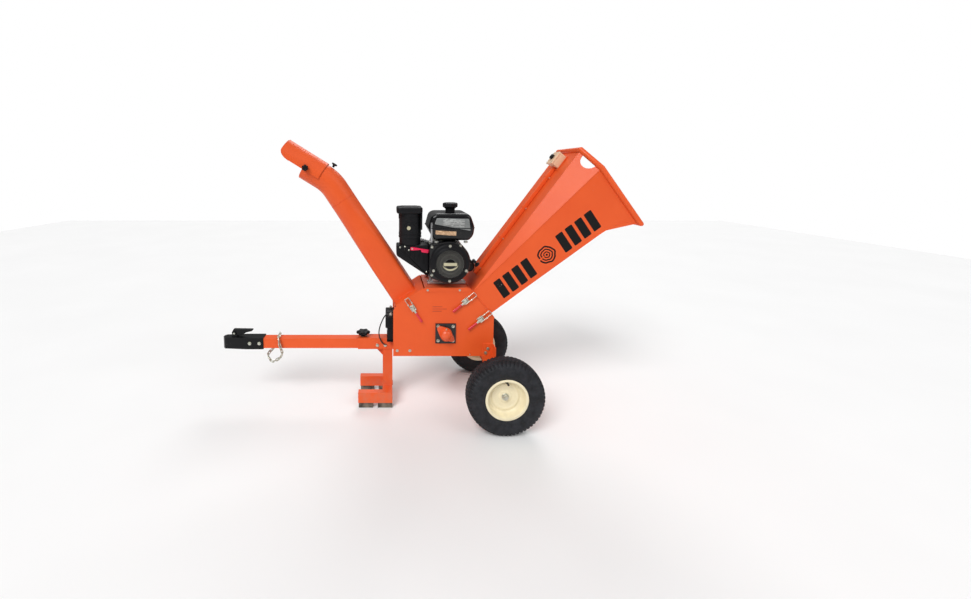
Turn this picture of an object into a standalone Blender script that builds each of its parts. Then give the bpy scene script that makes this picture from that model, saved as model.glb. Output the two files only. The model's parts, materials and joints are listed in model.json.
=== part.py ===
"""Towable wood chipper: drum housing on two wheels, petrol engine, feed hopper, discharge chute and hitch.

Metres, +Z up. +X points along the feed hopper, -X along the hitch, -Y is the near side with the recoil starter.
The model is laid out from the axle (x = 0, on the ground) and then moved so that the origin is the middle of
the bottom of its bounding box.
"""

import math

import bmesh
import bpy
from mathutils import Matrix, Vector

# Clearances
GAP = 0.0003  # between pieces that touch
RUN = 0.0010  # between pieces that turn or slide on each other

# Wheels and axle
TRACK = 0.700
TYRE_RADIUS = 0.2075
TYRE_WIDTH = 0.122
RIM_SEAT_RADIUS = 0.0998
RIM_FLANGE_RADIUS = 0.1145
RIM_WIDTH = 0.100
FLANGE_THICKNESS = 0.004
HUB_FACE = 0.012  # outer end of the hub, from the middle of the tyre
STUB_RADIUS = 0.0125
AXLE_BEAM_SIDE = 0.040
BRACKET_THICKNESS = 0.005
BRACKET_WIDTH = 0.064

# Rotor housing
HOUSING_REAR = -0.017
HOUSING_LENGTH = 0.576
HOUSING_BOTTOM = 0.335
HOUSING_HEIGHT = 0.400
HOUSING_WIDTH = 0.300
SIDE_THICKNESS = 0.005
SHELL_THICKNESS = 0.004
FRONT_RECESS = 0.058  # how far the front panel sits behind the side plates' front edge
DECK_THICKNESS = 0.005
DECK_LIP = 0.020
LIP_THICKNESS = 0.003
SEAT_FLANGE = 0.005  # thickness of the chute's and the hopper's base flange

# Rotor and drive
DRUM_RADIUS = 0.105
KNIFE_HEIGHT = 0.012
SHAFT_RADIUS = 0.0175
ROTOR_PULLEY_RADIUS = 0.065
ENGINE_PULLEY_RADIUS = 0.045
PULLEY_WIDTH = 0.030
GUARD_DEPTH = 0.068
GUARD_WALL = 0.0025
BEARING_PLATE_SIDE = 0.117
BEARING_PLATE_THICKNESS = 0.006

# Engine
CRANK_ABOVE_DECK = 0.148
CRANKCASE_CLEARANCE = 0.020  # from the crankcase's back to the side plate's outer face
SHROUD_RADIUS = 0.120
SHROUD_DEPTH = 0.085
RECOIL_RADIUS = 0.110
TANK_WIDTH = 0.256
TANK_HEIGHT = 0.150
TANK_DEPTH = 0.235
CANISTER_RADIUS = 0.0595
COVER_CLEARANCE = 0.0252  # from the chute's rear wall to the control cover's left side
CAP_RADIUS = 0.0435

# Feed hopper
HOPPER_SHEET = 0.003
HOPPER_REACH = 0.958  # from the base flange to the mouth, along the base's normal
THROAT_WIDTH = 0.300
THROAT_START = 0.028  # from the flange's upper edge
THROAT_HEIGHT = 0.163
MOUTH_HEIGHT = 0.490
MOUTH_SIDE_HEIGHT = 0.367
FLARE = 0.095  # growth of the half width over each metre of reach
LIP_RADIUS = 0.015
CONDUIT_SIDE = 0.025

# Discharge chute
CHUTE_HALF_WIDTH = 0.076
CHUTE_WALL = 0.0025
CHUTE_OVERHANG = 0.011  # of the tube past its flange's front edge
CHUTE_LENGTH = 0.798  # from its flange to the bend's corner
OUTLET_LENGTH = 0.169  # from the bend's corner to the outlet
OUTLET_LEAN = math.radians(32.0)
BEND_RADIUS = 0.245
HOOD_LENGTH = 0.260
HOOD_BEHIND = 0.090  # part of the hood's length behind its pivot
HOOD_CLEARANCE = 0.0045
HOOD_THICKNESS = 0.003
HOOD_PIVOT_SETBACK = 0.016  # from the chute's outlet edge

# Clamps: places are measured along the flange they hold
CHUTE_CLAMPS = (0.078,)
HOPPER_CLAMPS = (0.042, 0.180)
HOPPER_FAR_CLAMP = 0.160  # one only, past the belt guard
CLAMP_SETBACK = 0.056
LEVER_LENGTH = 0.100
PIVOT_HEIGHT = 0.0125
HOOK_BACK = 0.018  # from the lever's pivot back to the hook's
HOOK_HEIGHT = 0.0150
HOOK_HALF = 0.0125
HOOK_ROD = 0.002

# Hitch and stand
TONGUE_SIDE = 0.060
TONGUE_WALL = 0.004
RECEIVER_WALL = 0.004
TONGUE_LENGTH = 0.830
TONGUE_HEIGHT = 0.360
RECEIVER_LENGTH = 0.270
POST_SIDE = 0.059
FOOT_BAR_LENGTH = 0.203
FOOT_BAR_HEIGHT = 0.064
FOOT_BAR_DEPTH = 0.040
FOOT_SPREAD = 0.200
PAD_HEIGHT = 0.030
PAD_LENGTH = 0.086

# Battery
BATTERY_SIZE = (0.088, 0.170, 0.150)
CABLE_RADIUS = 0.0035
CHAIN_RADIUS = 0.007

AXLE_HEIGHT = TYRE_RADIUS
HOUSING_FRONT = HOUSING_REAR - HOUSING_LENGTH
HOUSING_TOP = HOUSING_BOTTOM + HOUSING_HEIGHT
SIDE_OUTER = HOUSING_WIDTH / 2
SIDE_INNER = SIDE_OUTER - SIDE_THICKNESS
DECK_BOTTOM = HOUSING_TOP + GAP
DECK_TOP = DECK_BOTTOM + DECK_THICKNESS
NEAR, FAR = -1, 1

FINISHES = {
    "orange": ((0.87, 0.13, 0.03), 0.35, 0.0),
    "cream": ((0.85, 0.79, 0.60), 0.35, 0.0),
    "tyre": ((0.015, 0.016, 0.020), 0.80, 0.0),
    "rubber": ((0.020, 0.020, 0.022), 0.90, 0.0),
    "plastic": ((0.018, 0.018, 0.020), 0.45, 0.0),
    "black_paint": ((0.010, 0.010, 0.012), 0.30, 0.0),
    "zinc": ((0.62, 0.62, 0.60), 0.35, 1.0),
    "steel": ((0.45, 0.45, 0.46), 0.30, 1.0),
    "aluminium": ((0.60, 0.61, 0.62), 0.45, 1.0),
    "red": ((0.70, 0.01, 0.06), 0.40, 0.0),
    "muffler": ((0.08, 0.07, 0.07), 0.60, 0.8),
    "box": ((0.65, 0.45, 0.33), 0.50, 0.0),
}


class Edge:
    """A straight edge in the XZ plane, with distances along it and square to it (to the left of its run)."""

    def __init__(self, start, end):
        self.start = Vector(start)
        self.along = (Vector(end) - self.start).normalized()
        self.out = Vector((-self.along.y, self.along.x))
        self.length = (Vector(end) - self.start).length

    def at(self, along, out):
        point = self.start + self.along * along + self.out * out
        return (point.x, point.y)

    def matrix(self, y=0.0):
        """A frame with X along the edge, Y along the model's Y and Z out of the edge."""
        columns = (
            (self.along.x, 0.0, self.along.y),
            (0.0, 1.0, 0.0),
            (self.out.x, 0.0, self.out.y),
        )
        turn = Matrix(columns).transposed().to_4x4()
        return Matrix.Translation((self.start.x, y, self.start.y)) @ turn


CHUTE_SEAT = Edge(
    (HOUSING_FRONT + 0.014, HOUSING_TOP - 0.104), (HOUSING_FRONT + 0.174, HOUSING_TOP)
)
HOPPER_SEAT = Edge(
    (HOUSING_REAR - 0.146, HOUSING_TOP), (HOUSING_REAR, HOUSING_TOP - 0.173)
)
ROTOR = (HOUSING_REAR - 0.276, HOUSING_BOTTOM + 0.138)
CRANK = (HOUSING_REAR - 0.263, DECK_TOP + CRANK_ABOVE_DECK)
HITCH_REAR = HOUSING_FRONT + FRONT_RECESS
RECEIVER_HALF = TONGUE_SIDE / 2 + GAP + RECEIVER_WALL
TONGUE_REAR = HITCH_REAR - 0.085
TONGUE_FRONT = TONGUE_REAR - TONGUE_LENGTH
CRANKCASE_BACK = SIDE_OUTER - CRANKCASE_CLEARANCE
BEARING_FACE = SIDE_OUTER + GAP + BEARING_PLATE_THICKNESS
PULLEY_MIDDLE = SIDE_OUTER + 0.041


def clear_scene():
    for obj in list(bpy.data.objects):
        bpy.data.objects.remove(obj, do_unlink=True)


def finish(name):
    colour, roughness, metallic = FINISHES[name]
    material = bpy.data.materials.get(name) or bpy.data.materials.new(name)
    material.use_nodes = True
    shader = material.node_tree.nodes["Principled BSDF"]
    shader.inputs["Base Color"].default_value = (*colour, 1.0)
    shader.inputs["Roughness"].default_value = roughness
    shader.inputs["Metallic"].default_value = metallic
    return material


# Shapes: each function returns a closed bmesh in model coordinates


def closed(bm, transform=None):
    if transform is not None:
        bmesh.ops.transform(bm, matrix=transform, verts=bm.verts)
    bmesh.ops.recalc_face_normals(bm, faces=bm.faces)
    return bm


def bevelled(bm, width, segments=2, sharp=math.radians(30)):
    edges = [edge for edge in bm.edges if edge.calc_face_angle(0.0) > sharp]
    bmesh.ops.bevel(
        bm, geom=edges, offset=width, segments=segments, affect="EDGES", profile=0.5
    )
    return closed(bm)


def block(x, y, z, transform=None):
    """A box between pairs of limits."""
    bm = bmesh.new()
    bmesh.ops.create_cube(bm, size=1.0)
    for vert in bm.verts:
        vert.co = [low + (high - low) * (c + 0.5) for c, (low, high) in zip(vert.co, (x, y, z))]
    return closed(bm, transform)


def prism(outline, low, high, axis="Y", transform=None):
    """An outline extruded along an axis. It is in (x, z) for Y, (y, z) for X and (x, y) for Z."""
    place = {
        "X": lambda a, b, depth: (depth, a, b),
        "Y": lambda a, b, depth: (a, depth, b),
        "Z": lambda a, b, depth: (a, b, depth),
    }[axis]
    bm = bmesh.new()
    rings = [[bm.verts.new(place(a, b, depth)) for a, b in outline] for depth in (low, high)]
    for index in range(len(outline)):
        after = (index + 1) % len(outline)
        bm.faces.new((rings[0][index], rings[0][after], rings[1][after], rings[1][index]))
    bm.faces.new(rings[0])
    bm.faces.new(rings[1][::-1])
    return closed(bm, transform)


def turned(profile, centre, axis, steps=32):
    """A closed profile of (distance along the axis, radius), turned about the axis through the centre."""
    axis = Vector(axis).normalized()
    upright = Vector((0.0, 0.0, 1.0) if abs(axis.z) < 0.9 else (1.0, 0.0, 0.0))
    side = (upright - axis * upright.dot(axis)).normalized()
    other = axis.cross(side)
    bm = bmesh.new()
    rings = []
    for along, radius in profile:
        middle = Vector(centre) + axis * along
        if radius == 0.0:
            rings.append([bm.verts.new(middle)] * steps)
            continue
        angles = [2 * math.pi * step / steps for step in range(steps)]
        rings.append(
            [
                bm.verts.new(middle + radius * (math.cos(a) * side + math.sin(a) * other))
                for a in angles
            ]
        )
    for first, second in zip(rings, rings[1:] + rings[:1]):
        for step in range(steps):
            after = (step + 1) % steps
            corners = (first[step], first[after], second[after], second[step])
            distinct = list(dict.fromkeys(corners))
            if len(distinct) > 2:
                bm.faces.new(distinct)
    return closed(bm)


def rod(start, end, radius, steps=16):
    """A plain round bar between two points."""
    start, end = Vector(start), Vector(end)
    length = (end - start).length
    profile = [(0.0, 0.0), (0.0, radius), (length, radius), (length, 0.0)]
    return turned(profile, start, end - start, steps)


def loft(loops, ring=False):
    """Skins loops of equal size one after another, with end caps or joined into a ring."""
    bm = bmesh.new()
    rows = [[bm.verts.new(point) for point in loop] for loop in loops]
    pairs = list(zip(rows, rows[1:] + rows[:1])) if ring else list(zip(rows, rows[1:]))
    size = len(rows[0])
    for first, second in pairs:
        for index in range(size):
            after = (index + 1) % size
            bm.faces.new((first[index], first[after], second[after], second[index]))
    if not ring:
        bm.faces.new(rows[0][::-1])
        bm.faces.new(rows[-1])
    return closed(bm)


def mitred_ring(corners, radius, steps=10):
    """A round tube along a closed run of straight stretches, mitred at each corner."""
    loops = []
    count = len(corners)
    for index, corner in enumerate(corners):
        before = (corner - corners[index - 1]).normalized()
        after = (corners[(index + 1) % count] - corner).normalized()
        normal = (before + after).normalized()
        plane = before.cross(after).normalized()
        across = plane.cross(normal)
        stretch = 1 / before.dot(normal)
        loops.append(
            [
                corner
                + plane * radius * math.cos(2 * math.pi * step / steps)
                + across * radius * stretch * math.sin(2 * math.pi * step / steps)
                for step in range(steps)
            ]
        )
    return loft(loops, ring=True)


def arc(centre, radius, start, end, steps):
    """Points of an arc between two angles in degrees."""
    turns = [math.radians(start + (end - start) * step / steps) for step in range(steps + 1)]
    return [(centre[0] + radius * math.cos(a), centre[1] + radius * math.sin(a)) for a in turns]


# Objects


def empty(name, place=(0.0, 0.0, 0.0), parent=None):
    obj = bpy.data.objects.new(name, None)
    bpy.context.scene.collection.objects.link(obj)
    obj.location = Vector(place)
    obj["place"] = tuple(place)
    if parent is not None:
        obj.parent = parent
        obj.location -= Vector(parent["place"])
    return obj


def mesh_object(name, bm, place):
    bmesh.ops.translate(bm, verts=bm.verts, vec=-Vector(place))
    mesh = bpy.data.meshes.new(name)
    bm.to_mesh(mesh)
    bm.free()
    mesh.shade_smooth()
    mesh.set_sharp_from_angle(angle=math.radians(35))
    obj = bpy.data.objects.new(name, mesh)
    bpy.context.scene.collection.objects.link(obj)
    return obj


def solid(name, bm, material, parent, steps=(), sheet=0.0, solver="EXACT"):
    """One closed body on its parent's axis: the shape, then each Boolean step as (operation, shape).

    An open surface is first given a sheet's thickness, inwards.
    """
    place = Vector(parent["place"])
    obj = mesh_object(name, bm, place)
    obj.parent = parent
    obj.data.materials.append(finish(material))
    if sheet:
        thicken = obj.modifiers.new("sheet", "SOLIDIFY")
        thicken.thickness = sheet
        thicken.offset = -1.0
        thicken.use_even_offset = True
    for index, (operation, shape) in enumerate(steps):
        helper = mesh_object(f"{name}_step_{index}", shape, place)
        helper.parent = parent
        helper.hide_render = True
        helper.display_type = "WIRE"
        modifier = obj.modifiers.new(f"step_{index}", "BOOLEAN")
        modifier.operation = operation
        modifier.solver = solver
        modifier.object = helper
    return obj


def add(*shapes):
    return [("UNION", shape) for shape in shapes]


def cut(*shapes):
    return [("DIFFERENCE", shape) for shape in shapes]


# Housing


def side_outline():
    front_shoulder = (HOUSING_FRONT, CHUTE_SEAT.start.y - 0.025)
    return [
        (HOUSING_FRONT, HOUSING_BOTTOM),
        (HOUSING_REAR, HOUSING_BOTTOM),
        HOPPER_SEAT.at(HOPPER_SEAT.length, 0.0),
        HOPPER_SEAT.at(0.0, 0.0),
        CHUTE_SEAT.at(CHUTE_SEAT.length, 0.0),
        CHUTE_SEAT.at(0.0, 0.0),
        front_shoulder,
    ]


def build_housing(root):
    shaft_hole = SHAFT_RADIUS + 0.004
    for side, label in ((NEAR, "near"), (FAR, "far")):
        low, high = sorted((side * SIDE_INNER, side * SIDE_OUTER))
        hole = rod((ROTOR[0], low - 0.01, ROTOR[1]), (ROTOR[0], high + 0.01, ROTOR[1]), shaft_hole, 24)
        solid(f"side_plate_{label}", prism(side_outline(), low, high), "orange", root, cut(hole))

    inner = SIDE_INNER - GAP
    panel = HITCH_REAR
    top_left = CHUTE_SEAT.at(0.0, -SHELL_THICKNESS)
    top_right = HOPPER_SEAT.at(HOPPER_SEAT.length, -SHELL_THICKNESS)
    rear = HOUSING_REAR - 0.003
    front = HOUSING_FRONT + 0.006
    bend_low = CHUTE_SEAT.start.y - 0.065
    bend_high = CHUTE_SEAT.start.y - 0.031
    floor = HOUSING_BOTTOM + 0.003
    wall = SHELL_THICKNESS
    outline = [
        (front, top_left[1] - wall),
        (front, bend_high),
        (panel, bend_low),
        (panel, floor),
        (rear, floor),
        (rear, top_right[1] - wall),
        (rear - wall, top_right[1]),
        (rear - wall, floor + wall),
        (panel + wall, floor + wall),
        (panel + wall, bend_low + wall),
        (front + wall, bend_high + wall),
        (front + wall, top_left[1]),
    ]
    solid("housing_shell", prism(outline, -inner, inner), "orange", root)

    lip_inner = SIDE_OUTER + GAP
    lip_outer = lip_inner + LIP_THICKNESS
    section = [
        (-lip_outer, DECK_TOP),
        (-lip_outer, DECK_BOTTOM - DECK_LIP),
        (-lip_inner, DECK_BOTTOM - DECK_LIP),
        (-lip_inner, DECK_BOTTOM),
        (lip_inner, DECK_BOTTOM),
        (lip_inner, DECK_BOTTOM - DECK_LIP),
        (lip_outer, DECK_BOTTOM - DECK_LIP),
        (lip_outer, DECK_TOP),
    ]
    deck_front = CHUTE_SEAT.at(CHUTE_SEAT.length, 0.0)[0] + 0.004
    deck_rear = HOPPER_SEAT.start.x - 0.0035
    solid("engine_deck", prism(section, deck_front, deck_rear, "X"), "orange", root)

    blade_x = ROTOR[0] + DRUM_RADIUS + KNIFE_HEIGHT + RUN * 4
    bed_rear = (rear - wall - GAP, top_right[1] - 0.025)
    bed = [
        (blade_x, ROTOR[1] + 0.002),
        (blade_x + 0.022, ROTOR[1] - 0.012),
        (bed_rear[0], bed_rear[1] - 0.004),
        (bed_rear[0], bed_rear[1]),
        (blade_x + 0.022, ROTOR[1] + 0.004),
        (blade_x, ROTOR[1] + 0.004),
    ]
    solid("anvil_bed", prism(bed, -inner, inner), "steel", root)


def bearing_outline(half_length, half_width, lean):
    """A rhombus flange with round ends, leaning by an angle, about the rotor's axis."""
    ends = arc((half_length, 0.0), 0.016, -58, 58, 6)
    middle = arc((0.0, 0.0), half_width, 68, 112, 4)
    outline = ends + middle + [(-x, -y) for x, y in ends + middle]
    turn = Matrix.Rotation(lean, 2)
    return [tuple(Vector(ROTOR) + turn @ Vector(point)) for point in outline]


def build_bearings(root):
    half = BEARING_PLATE_SIDE / 2
    inner, outer = SIDE_OUTER + GAP, BEARING_FACE
    bore = SHAFT_RADIUS + RUN
    centre = (ROTOR[0], 0.0, ROTOR[1])

    plate = block(
        (ROTOR[0] - half, ROTOR[0] + half), (-outer, -inner), (ROTOR[1] - half, ROTOR[1] + half)
    )
    face = BEARING_FACE + GAP
    flange = prism(bearing_outline(0.045, 0.036, math.radians(-42)), -face - 0.010, -face + 0.001)
    cap = [(0.004, 0.0), (0.004, 0.036), (0.026, 0.034), (0.038, 0.026), (0.043, 0.012), (0.044, 0.0)]
    dome = turned([(face + along, radius) for along, radius in cap], centre, (0, NEAR, 0), 28)
    blind = rod((ROTOR[0], 0.0, ROTOR[1]), (ROTOR[0], -face - 0.034, ROTOR[1]), bore, 24)
    solid("bearing_near", plate, "orange", root, add(flange, dome) + cut(blind))

    plate_far = block(
        (ROTOR[0] - half, ROTOR[0] + half), (inner, outer), (ROTOR[1] - half, ROTOR[1] + half)
    )
    flange_far = prism(bearing_outline(0.045, 0.036, math.radians(42)), outer - 0.001, outer + 0.008)
    hole = rod((ROTOR[0], 0.0, ROTOR[1]), (ROTOR[0], outer + 0.02, ROTOR[1]), bore, 24)
    solid("bearing_far", plate_far, "black_paint", root, add(flange_far) + cut(hole))


def build_rotor(root):
    axis = empty("rotor_axis", (ROTOR[0], 0.0, ROTOR[1]), root)
    half = SIDE_INNER - 0.010
    near_end = BEARING_FACE + GAP + 0.032
    far_end = PULLEY_MIDDLE + PULLEY_WIDTH / 2 + 0.006
    pulley = PULLEY_MIDDLE - PULLEY_WIDTH / 2
    profile = [
        (-near_end, 0.0),
        (-near_end, SHAFT_RADIUS),
        (-half, SHAFT_RADIUS),
        (-half, DRUM_RADIUS),
        (half, DRUM_RADIUS),
        (half, SHAFT_RADIUS),
        (pulley, SHAFT_RADIUS),
        (pulley, ROTOR_PULLEY_RADIUS),
        (pulley + 0.006, ROTOR_PULLEY_RADIUS),
        (PULLEY_MIDDLE, ROTOR_PULLEY_RADIUS - 0.010),
        (pulley + PULLEY_WIDTH - 0.006, ROTOR_PULLEY_RADIUS),
        (pulley + PULLEY_WIDTH, ROTOR_PULLEY_RADIUS),
        (pulley + PULLEY_WIDTH, SHAFT_RADIUS),
        (far_end, SHAFT_RADIUS),
        (far_end, 0.0),
    ]
    drum = turned(profile, (ROTOR[0], 0.0, ROTOR[1]), (0, FAR, 0), 36)
    knives = []
    for turn in (0.0, math.pi):
        knife = block((-0.020, 0.020), (-half + 0.004, half - 0.004), (DRUM_RADIUS - 0.012, DRUM_RADIUS + 0.008))
        place = Matrix.Translation((ROTOR[0], 0.0, ROTOR[1])) @ Matrix.Rotation(turn, 4, "Y")
        knives.append(closed(knife, place))
    solid("rotor", drum, "steel", axis, add(*knives))


def build_drive(root):
    axis = empty("engine_shaft_axis", (CRANK[0], 0.0, CRANK[1]), root)
    start = PULLEY_MIDDLE - PULLEY_WIDTH / 2
    end = start + PULLEY_WIDTH
    profile = [
        (CRANKCASE_BACK + RUN, 0.0),
        (CRANKCASE_BACK + RUN, STUB_RADIUS),
        (start, STUB_RADIUS),
        (start, ENGINE_PULLEY_RADIUS),
        (start + 0.006, ENGINE_PULLEY_RADIUS),
        (PULLEY_MIDDLE, ENGINE_PULLEY_RADIUS - 0.010),
        (end - 0.006, ENGINE_PULLEY_RADIUS),
        (end, ENGINE_PULLEY_RADIUS),
        (end, STUB_RADIUS),
        (end + 0.006, STUB_RADIUS),
        (end + 0.006, 0.0),
    ]
    pulley = turned(profile, (CRANK[0], 0.0, CRANK[1]), (0, FAR, 0), 28)
    solid("engine_pulley", pulley, "steel", axis)

    inner = SIDE_OUTER + GAP * 2 + LIP_THICKNESS
    outer = inner + GUARD_DEPTH

    def outline(wall):
        top = arc(CRANK, ENGINE_PULLEY_RADIUS + 0.030 - wall, 0, 180, 14)
        bottom = arc(ROTOR, ROTOR_PULLEY_RADIUS + 0.030 - wall, 180, 360, 14)
        return top + bottom

    hollow = prism(outline(GUARD_WALL), inner - 0.01, outer - GUARD_WALL)
    solid("belt_guard", prism(outline(0.0), inner, outer), "orange", root, cut(hollow))


# Wheels


def build_axle(root):
    half = AXLE_BEAM_SIDE / 2
    hub_inner = TRACK / 2 - 0.040 - RUN
    beam_end = TRACK / 2 - TYRE_WIDTH / 2 - 0.010
    nut_start = TRACK / 2 + HUB_FACE + RUN / 2
    beam = block((-half, half), (-beam_end, beam_end), (AXLE_HEIGHT - half, AXLE_HEIGHT + half))
    pieces = []
    for side in (NEAR, FAR):
        profile = [
            (beam_end - 0.01, 0.0),
            (beam_end - 0.01, 0.019),
            (hub_inner, 0.019),
            (hub_inner, STUB_RADIUS),
            (nut_start, STUB_RADIUS),
            (nut_start, 0.019),
            (nut_start + 0.002, 0.019),
            (nut_start + 0.002, 0.014),
            (nut_start + 0.012, 0.014),
            (nut_start + 0.012, 0.008),
            (nut_start + 0.016, 0.008),
            (nut_start + 0.016, 0.0),
        ]
        pieces.append(turned(profile, (0, 0, AXLE_HEIGHT), (0, side, 0), 18))
        wide_low, wide_high = sorted((side * (SIDE_OUTER + GAP), side * (SIDE_OUTER + GAP + BRACKET_WIDTH)))
        thin_low, thin_high = sorted((side * (SIDE_OUTER + GAP), side * (SIDE_OUTER + GAP + BRACKET_THICKNESS)))
        top = HOUSING_BOTTOM + 0.076
        left = HOUSING_REAR - 0.058
        web = [
            (left, top),
            (left, HOUSING_BOTTOM - 0.020),
            (-half, AXLE_HEIGHT - half + 0.004),
            (half, AXLE_HEIGHT - half + 0.004),
            (half, AXLE_HEIGHT + half),
            (HOUSING_REAR + 0.001, HOUSING_BOTTOM - 0.020),
            (HOUSING_REAR + 0.001, top),
        ]
        rib = [
            (HOUSING_REAR + 0.001 - BRACKET_THICKNESS, top),
            (HOUSING_REAR + 0.001 - BRACKET_THICKNESS, HOUSING_BOTTOM - 0.020),
            (half - BRACKET_THICKNESS, AXLE_HEIGHT),
            (half, AXLE_HEIGHT + half - 0.002),
            (HOUSING_REAR + 0.001, HOUSING_BOTTOM - 0.020),
            (HOUSING_REAR + 0.001, top),
        ]
        pieces.append(prism(web, thin_low, thin_high))
        pieces.append(prism(rib, wide_low, wide_high))
    solid("axle", beam, "orange", root, add(*pieces))


def build_wheel(side, label, root):
    axis = empty(f"wheel_{label}_axis", (0.0, side * TRACK / 2, AXLE_HEIGHT), root)
    centre = (0.0, side * TRACK / 2, AXLE_HEIGHT)
    edge = RIM_WIDTH / 2
    seat = edge - FLANGE_THICKNESS
    bead = seat - GAP * 2
    bead_radius = RIM_SEAT_RADIUS + GAP
    bulge = TYRE_WIDTH / 2
    half_profile = [
        (bead, bead_radius),
        (bead, RIM_FLANGE_RADIUS + 0.002),
        (bulge - 0.006, RIM_FLANGE_RADIUS + 0.014),
        (bulge, (RIM_FLANGE_RADIUS + TYRE_RADIUS) / 2 - 0.004),
        (bulge - 0.001, (RIM_FLANGE_RADIUS + TYRE_RADIUS) / 2 + 0.012),
        (bulge - 0.007, TYRE_RADIUS - 0.018),
        (bulge - 0.018, TYRE_RADIUS - 0.006),
        (bulge - 0.036, TYRE_RADIUS - 0.001),
        (0.0, TYRE_RADIUS),
    ]
    profile = half_profile + [(-along, radius) for along, radius in half_profile[-2::-1]]
    solid(f"tyre_{label}", turned(profile, centre, (0, side, 0), 44), "tyre", axis)

    bore = STUB_RADIUS + RUN / 2
    barrel = RIM_SEAT_RADIUS - 0.0035
    profile = [
        (-edge, RIM_FLANGE_RADIUS),
        (-seat, RIM_FLANGE_RADIUS),
        (-seat, RIM_SEAT_RADIUS),
        (seat, RIM_SEAT_RADIUS),
        (seat, RIM_FLANGE_RADIUS),
        (edge, RIM_FLANGE_RADIUS),
        (edge, barrel),
        (HUB_FACE + 0.008, barrel - 0.003),
        (HUB_FACE - 0.004, barrel - 0.016),
        (HUB_FACE - 0.004, 0.034),
        (HUB_FACE, 0.030),
        (HUB_FACE, bore),
        (-0.040, bore),
        (-0.040, 0.026),
        (HUB_FACE - 0.010, 0.030),
        (HUB_FACE - 0.010, barrel - 0.014),
        (HUB_FACE - 0.002, barrel - 0.003),
        (-edge, barrel),
    ]
    solid(f"rim_{label}", turned(profile, centre, (0, side, 0), 40), "cream", axis)


# Hitch and stand


def square_tube(x, half, wall, z):
    outer = block(x, (-half, half), (z - half, z + half))
    hole = half - wall
    inner = block((x[0] - 0.02, x[1] + 0.02), (-hole, hole), (z - hole, z + hole))
    return outer, inner


def build_stand(root):
    rear = HITCH_REAR - GAP
    front = rear - RECEIVER_LENGTH
    outer, inner = square_tube((front, rear), RECEIVER_HALF, RECEIVER_WALL, TONGUE_HEIGHT)
    half = POST_SIDE / 2
    post_rear = HOUSING_FRONT - 0.003
    post_front = post_rear - POST_SIDE
    foot_top = PAD_HEIGHT + GAP + FOOT_BAR_HEIGHT
    under = TONGUE_HEIGHT - RECEIVER_HALF
    post = block((post_front, post_rear), (-half, half), (foot_top + GAP, under + 0.002))
    gusset = [(post_front - 0.047, under + 0.001), (post_front + 0.001, under - 0.052), (post_front + 0.001, under + 0.001)]
    web = prism(gusset, -0.004, 0.004)
    cross = block(
        (HOUSING_FRONT + 0.003, HOUSING_FRONT + 0.009),
        (-SIDE_INNER + GAP, SIDE_INNER - GAP),
        (HOUSING_BOTTOM + 0.002, TONGUE_HEIGHT + RECEIVER_HALF - 0.002),
    )
    knob_bore = rod(
        (front + 0.031, 0.0, TONGUE_HEIGHT), (front + 0.031, 0.0, TONGUE_HEIGHT + 0.1), 0.006, 12
    )
    steps = add(post, web, cross) + cut(inner, knob_bore)
    solid("hitch_post", outer, "orange", root, steps)

    bar_rear = post_rear - 0.001
    bar_front = bar_rear - FOOT_BAR_LENGTH
    bar_low = PAD_HEIGHT + GAP
    half_bar = FOOT_BAR_DEPTH / 2
    spread = FOOT_SPREAD / 2
    foot = [
        (bar_front, -spread - half_bar),
        (bar_rear, -spread - half_bar),
        (bar_rear, spread + half_bar),
        (bar_front, spread + half_bar),
        (bar_front, spread - half_bar),
        (bar_rear - POST_SIDE, spread - half_bar),
        (bar_rear - POST_SIDE, -spread + half_bar),
        (bar_front, -spread + half_bar),
    ]
    solid("foot_frame", prism(foot, bar_low, foot_top, "Z"), "orange", root)
    for side, label in ((NEAR, "near"), (FAR, "far")):
        for start, place in ((bar_front + 0.003, "front"), (bar_rear - PAD_LENGTH, "rear")):
            pad = block(
                (start, start + PAD_LENGTH),
                (side * spread - half_bar + 0.002, side * spread + half_bar - 0.002),
                (0.0, PAD_HEIGHT),
            )
            solid(f"foot_pad_{label}_{place}", pad, "rubber", root)


def star(radius, dip, lobes, steps=4):
    """A round knob's outline with lobes."""
    points = []
    count = lobes * steps
    for step in range(count):
        turn = 2 * math.pi * step / count
        reach = radius - dip * (0.5 - 0.5 * math.cos(turn * lobes))
        points.append((reach * math.cos(turn), reach * math.sin(turn)))
    return points


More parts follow.
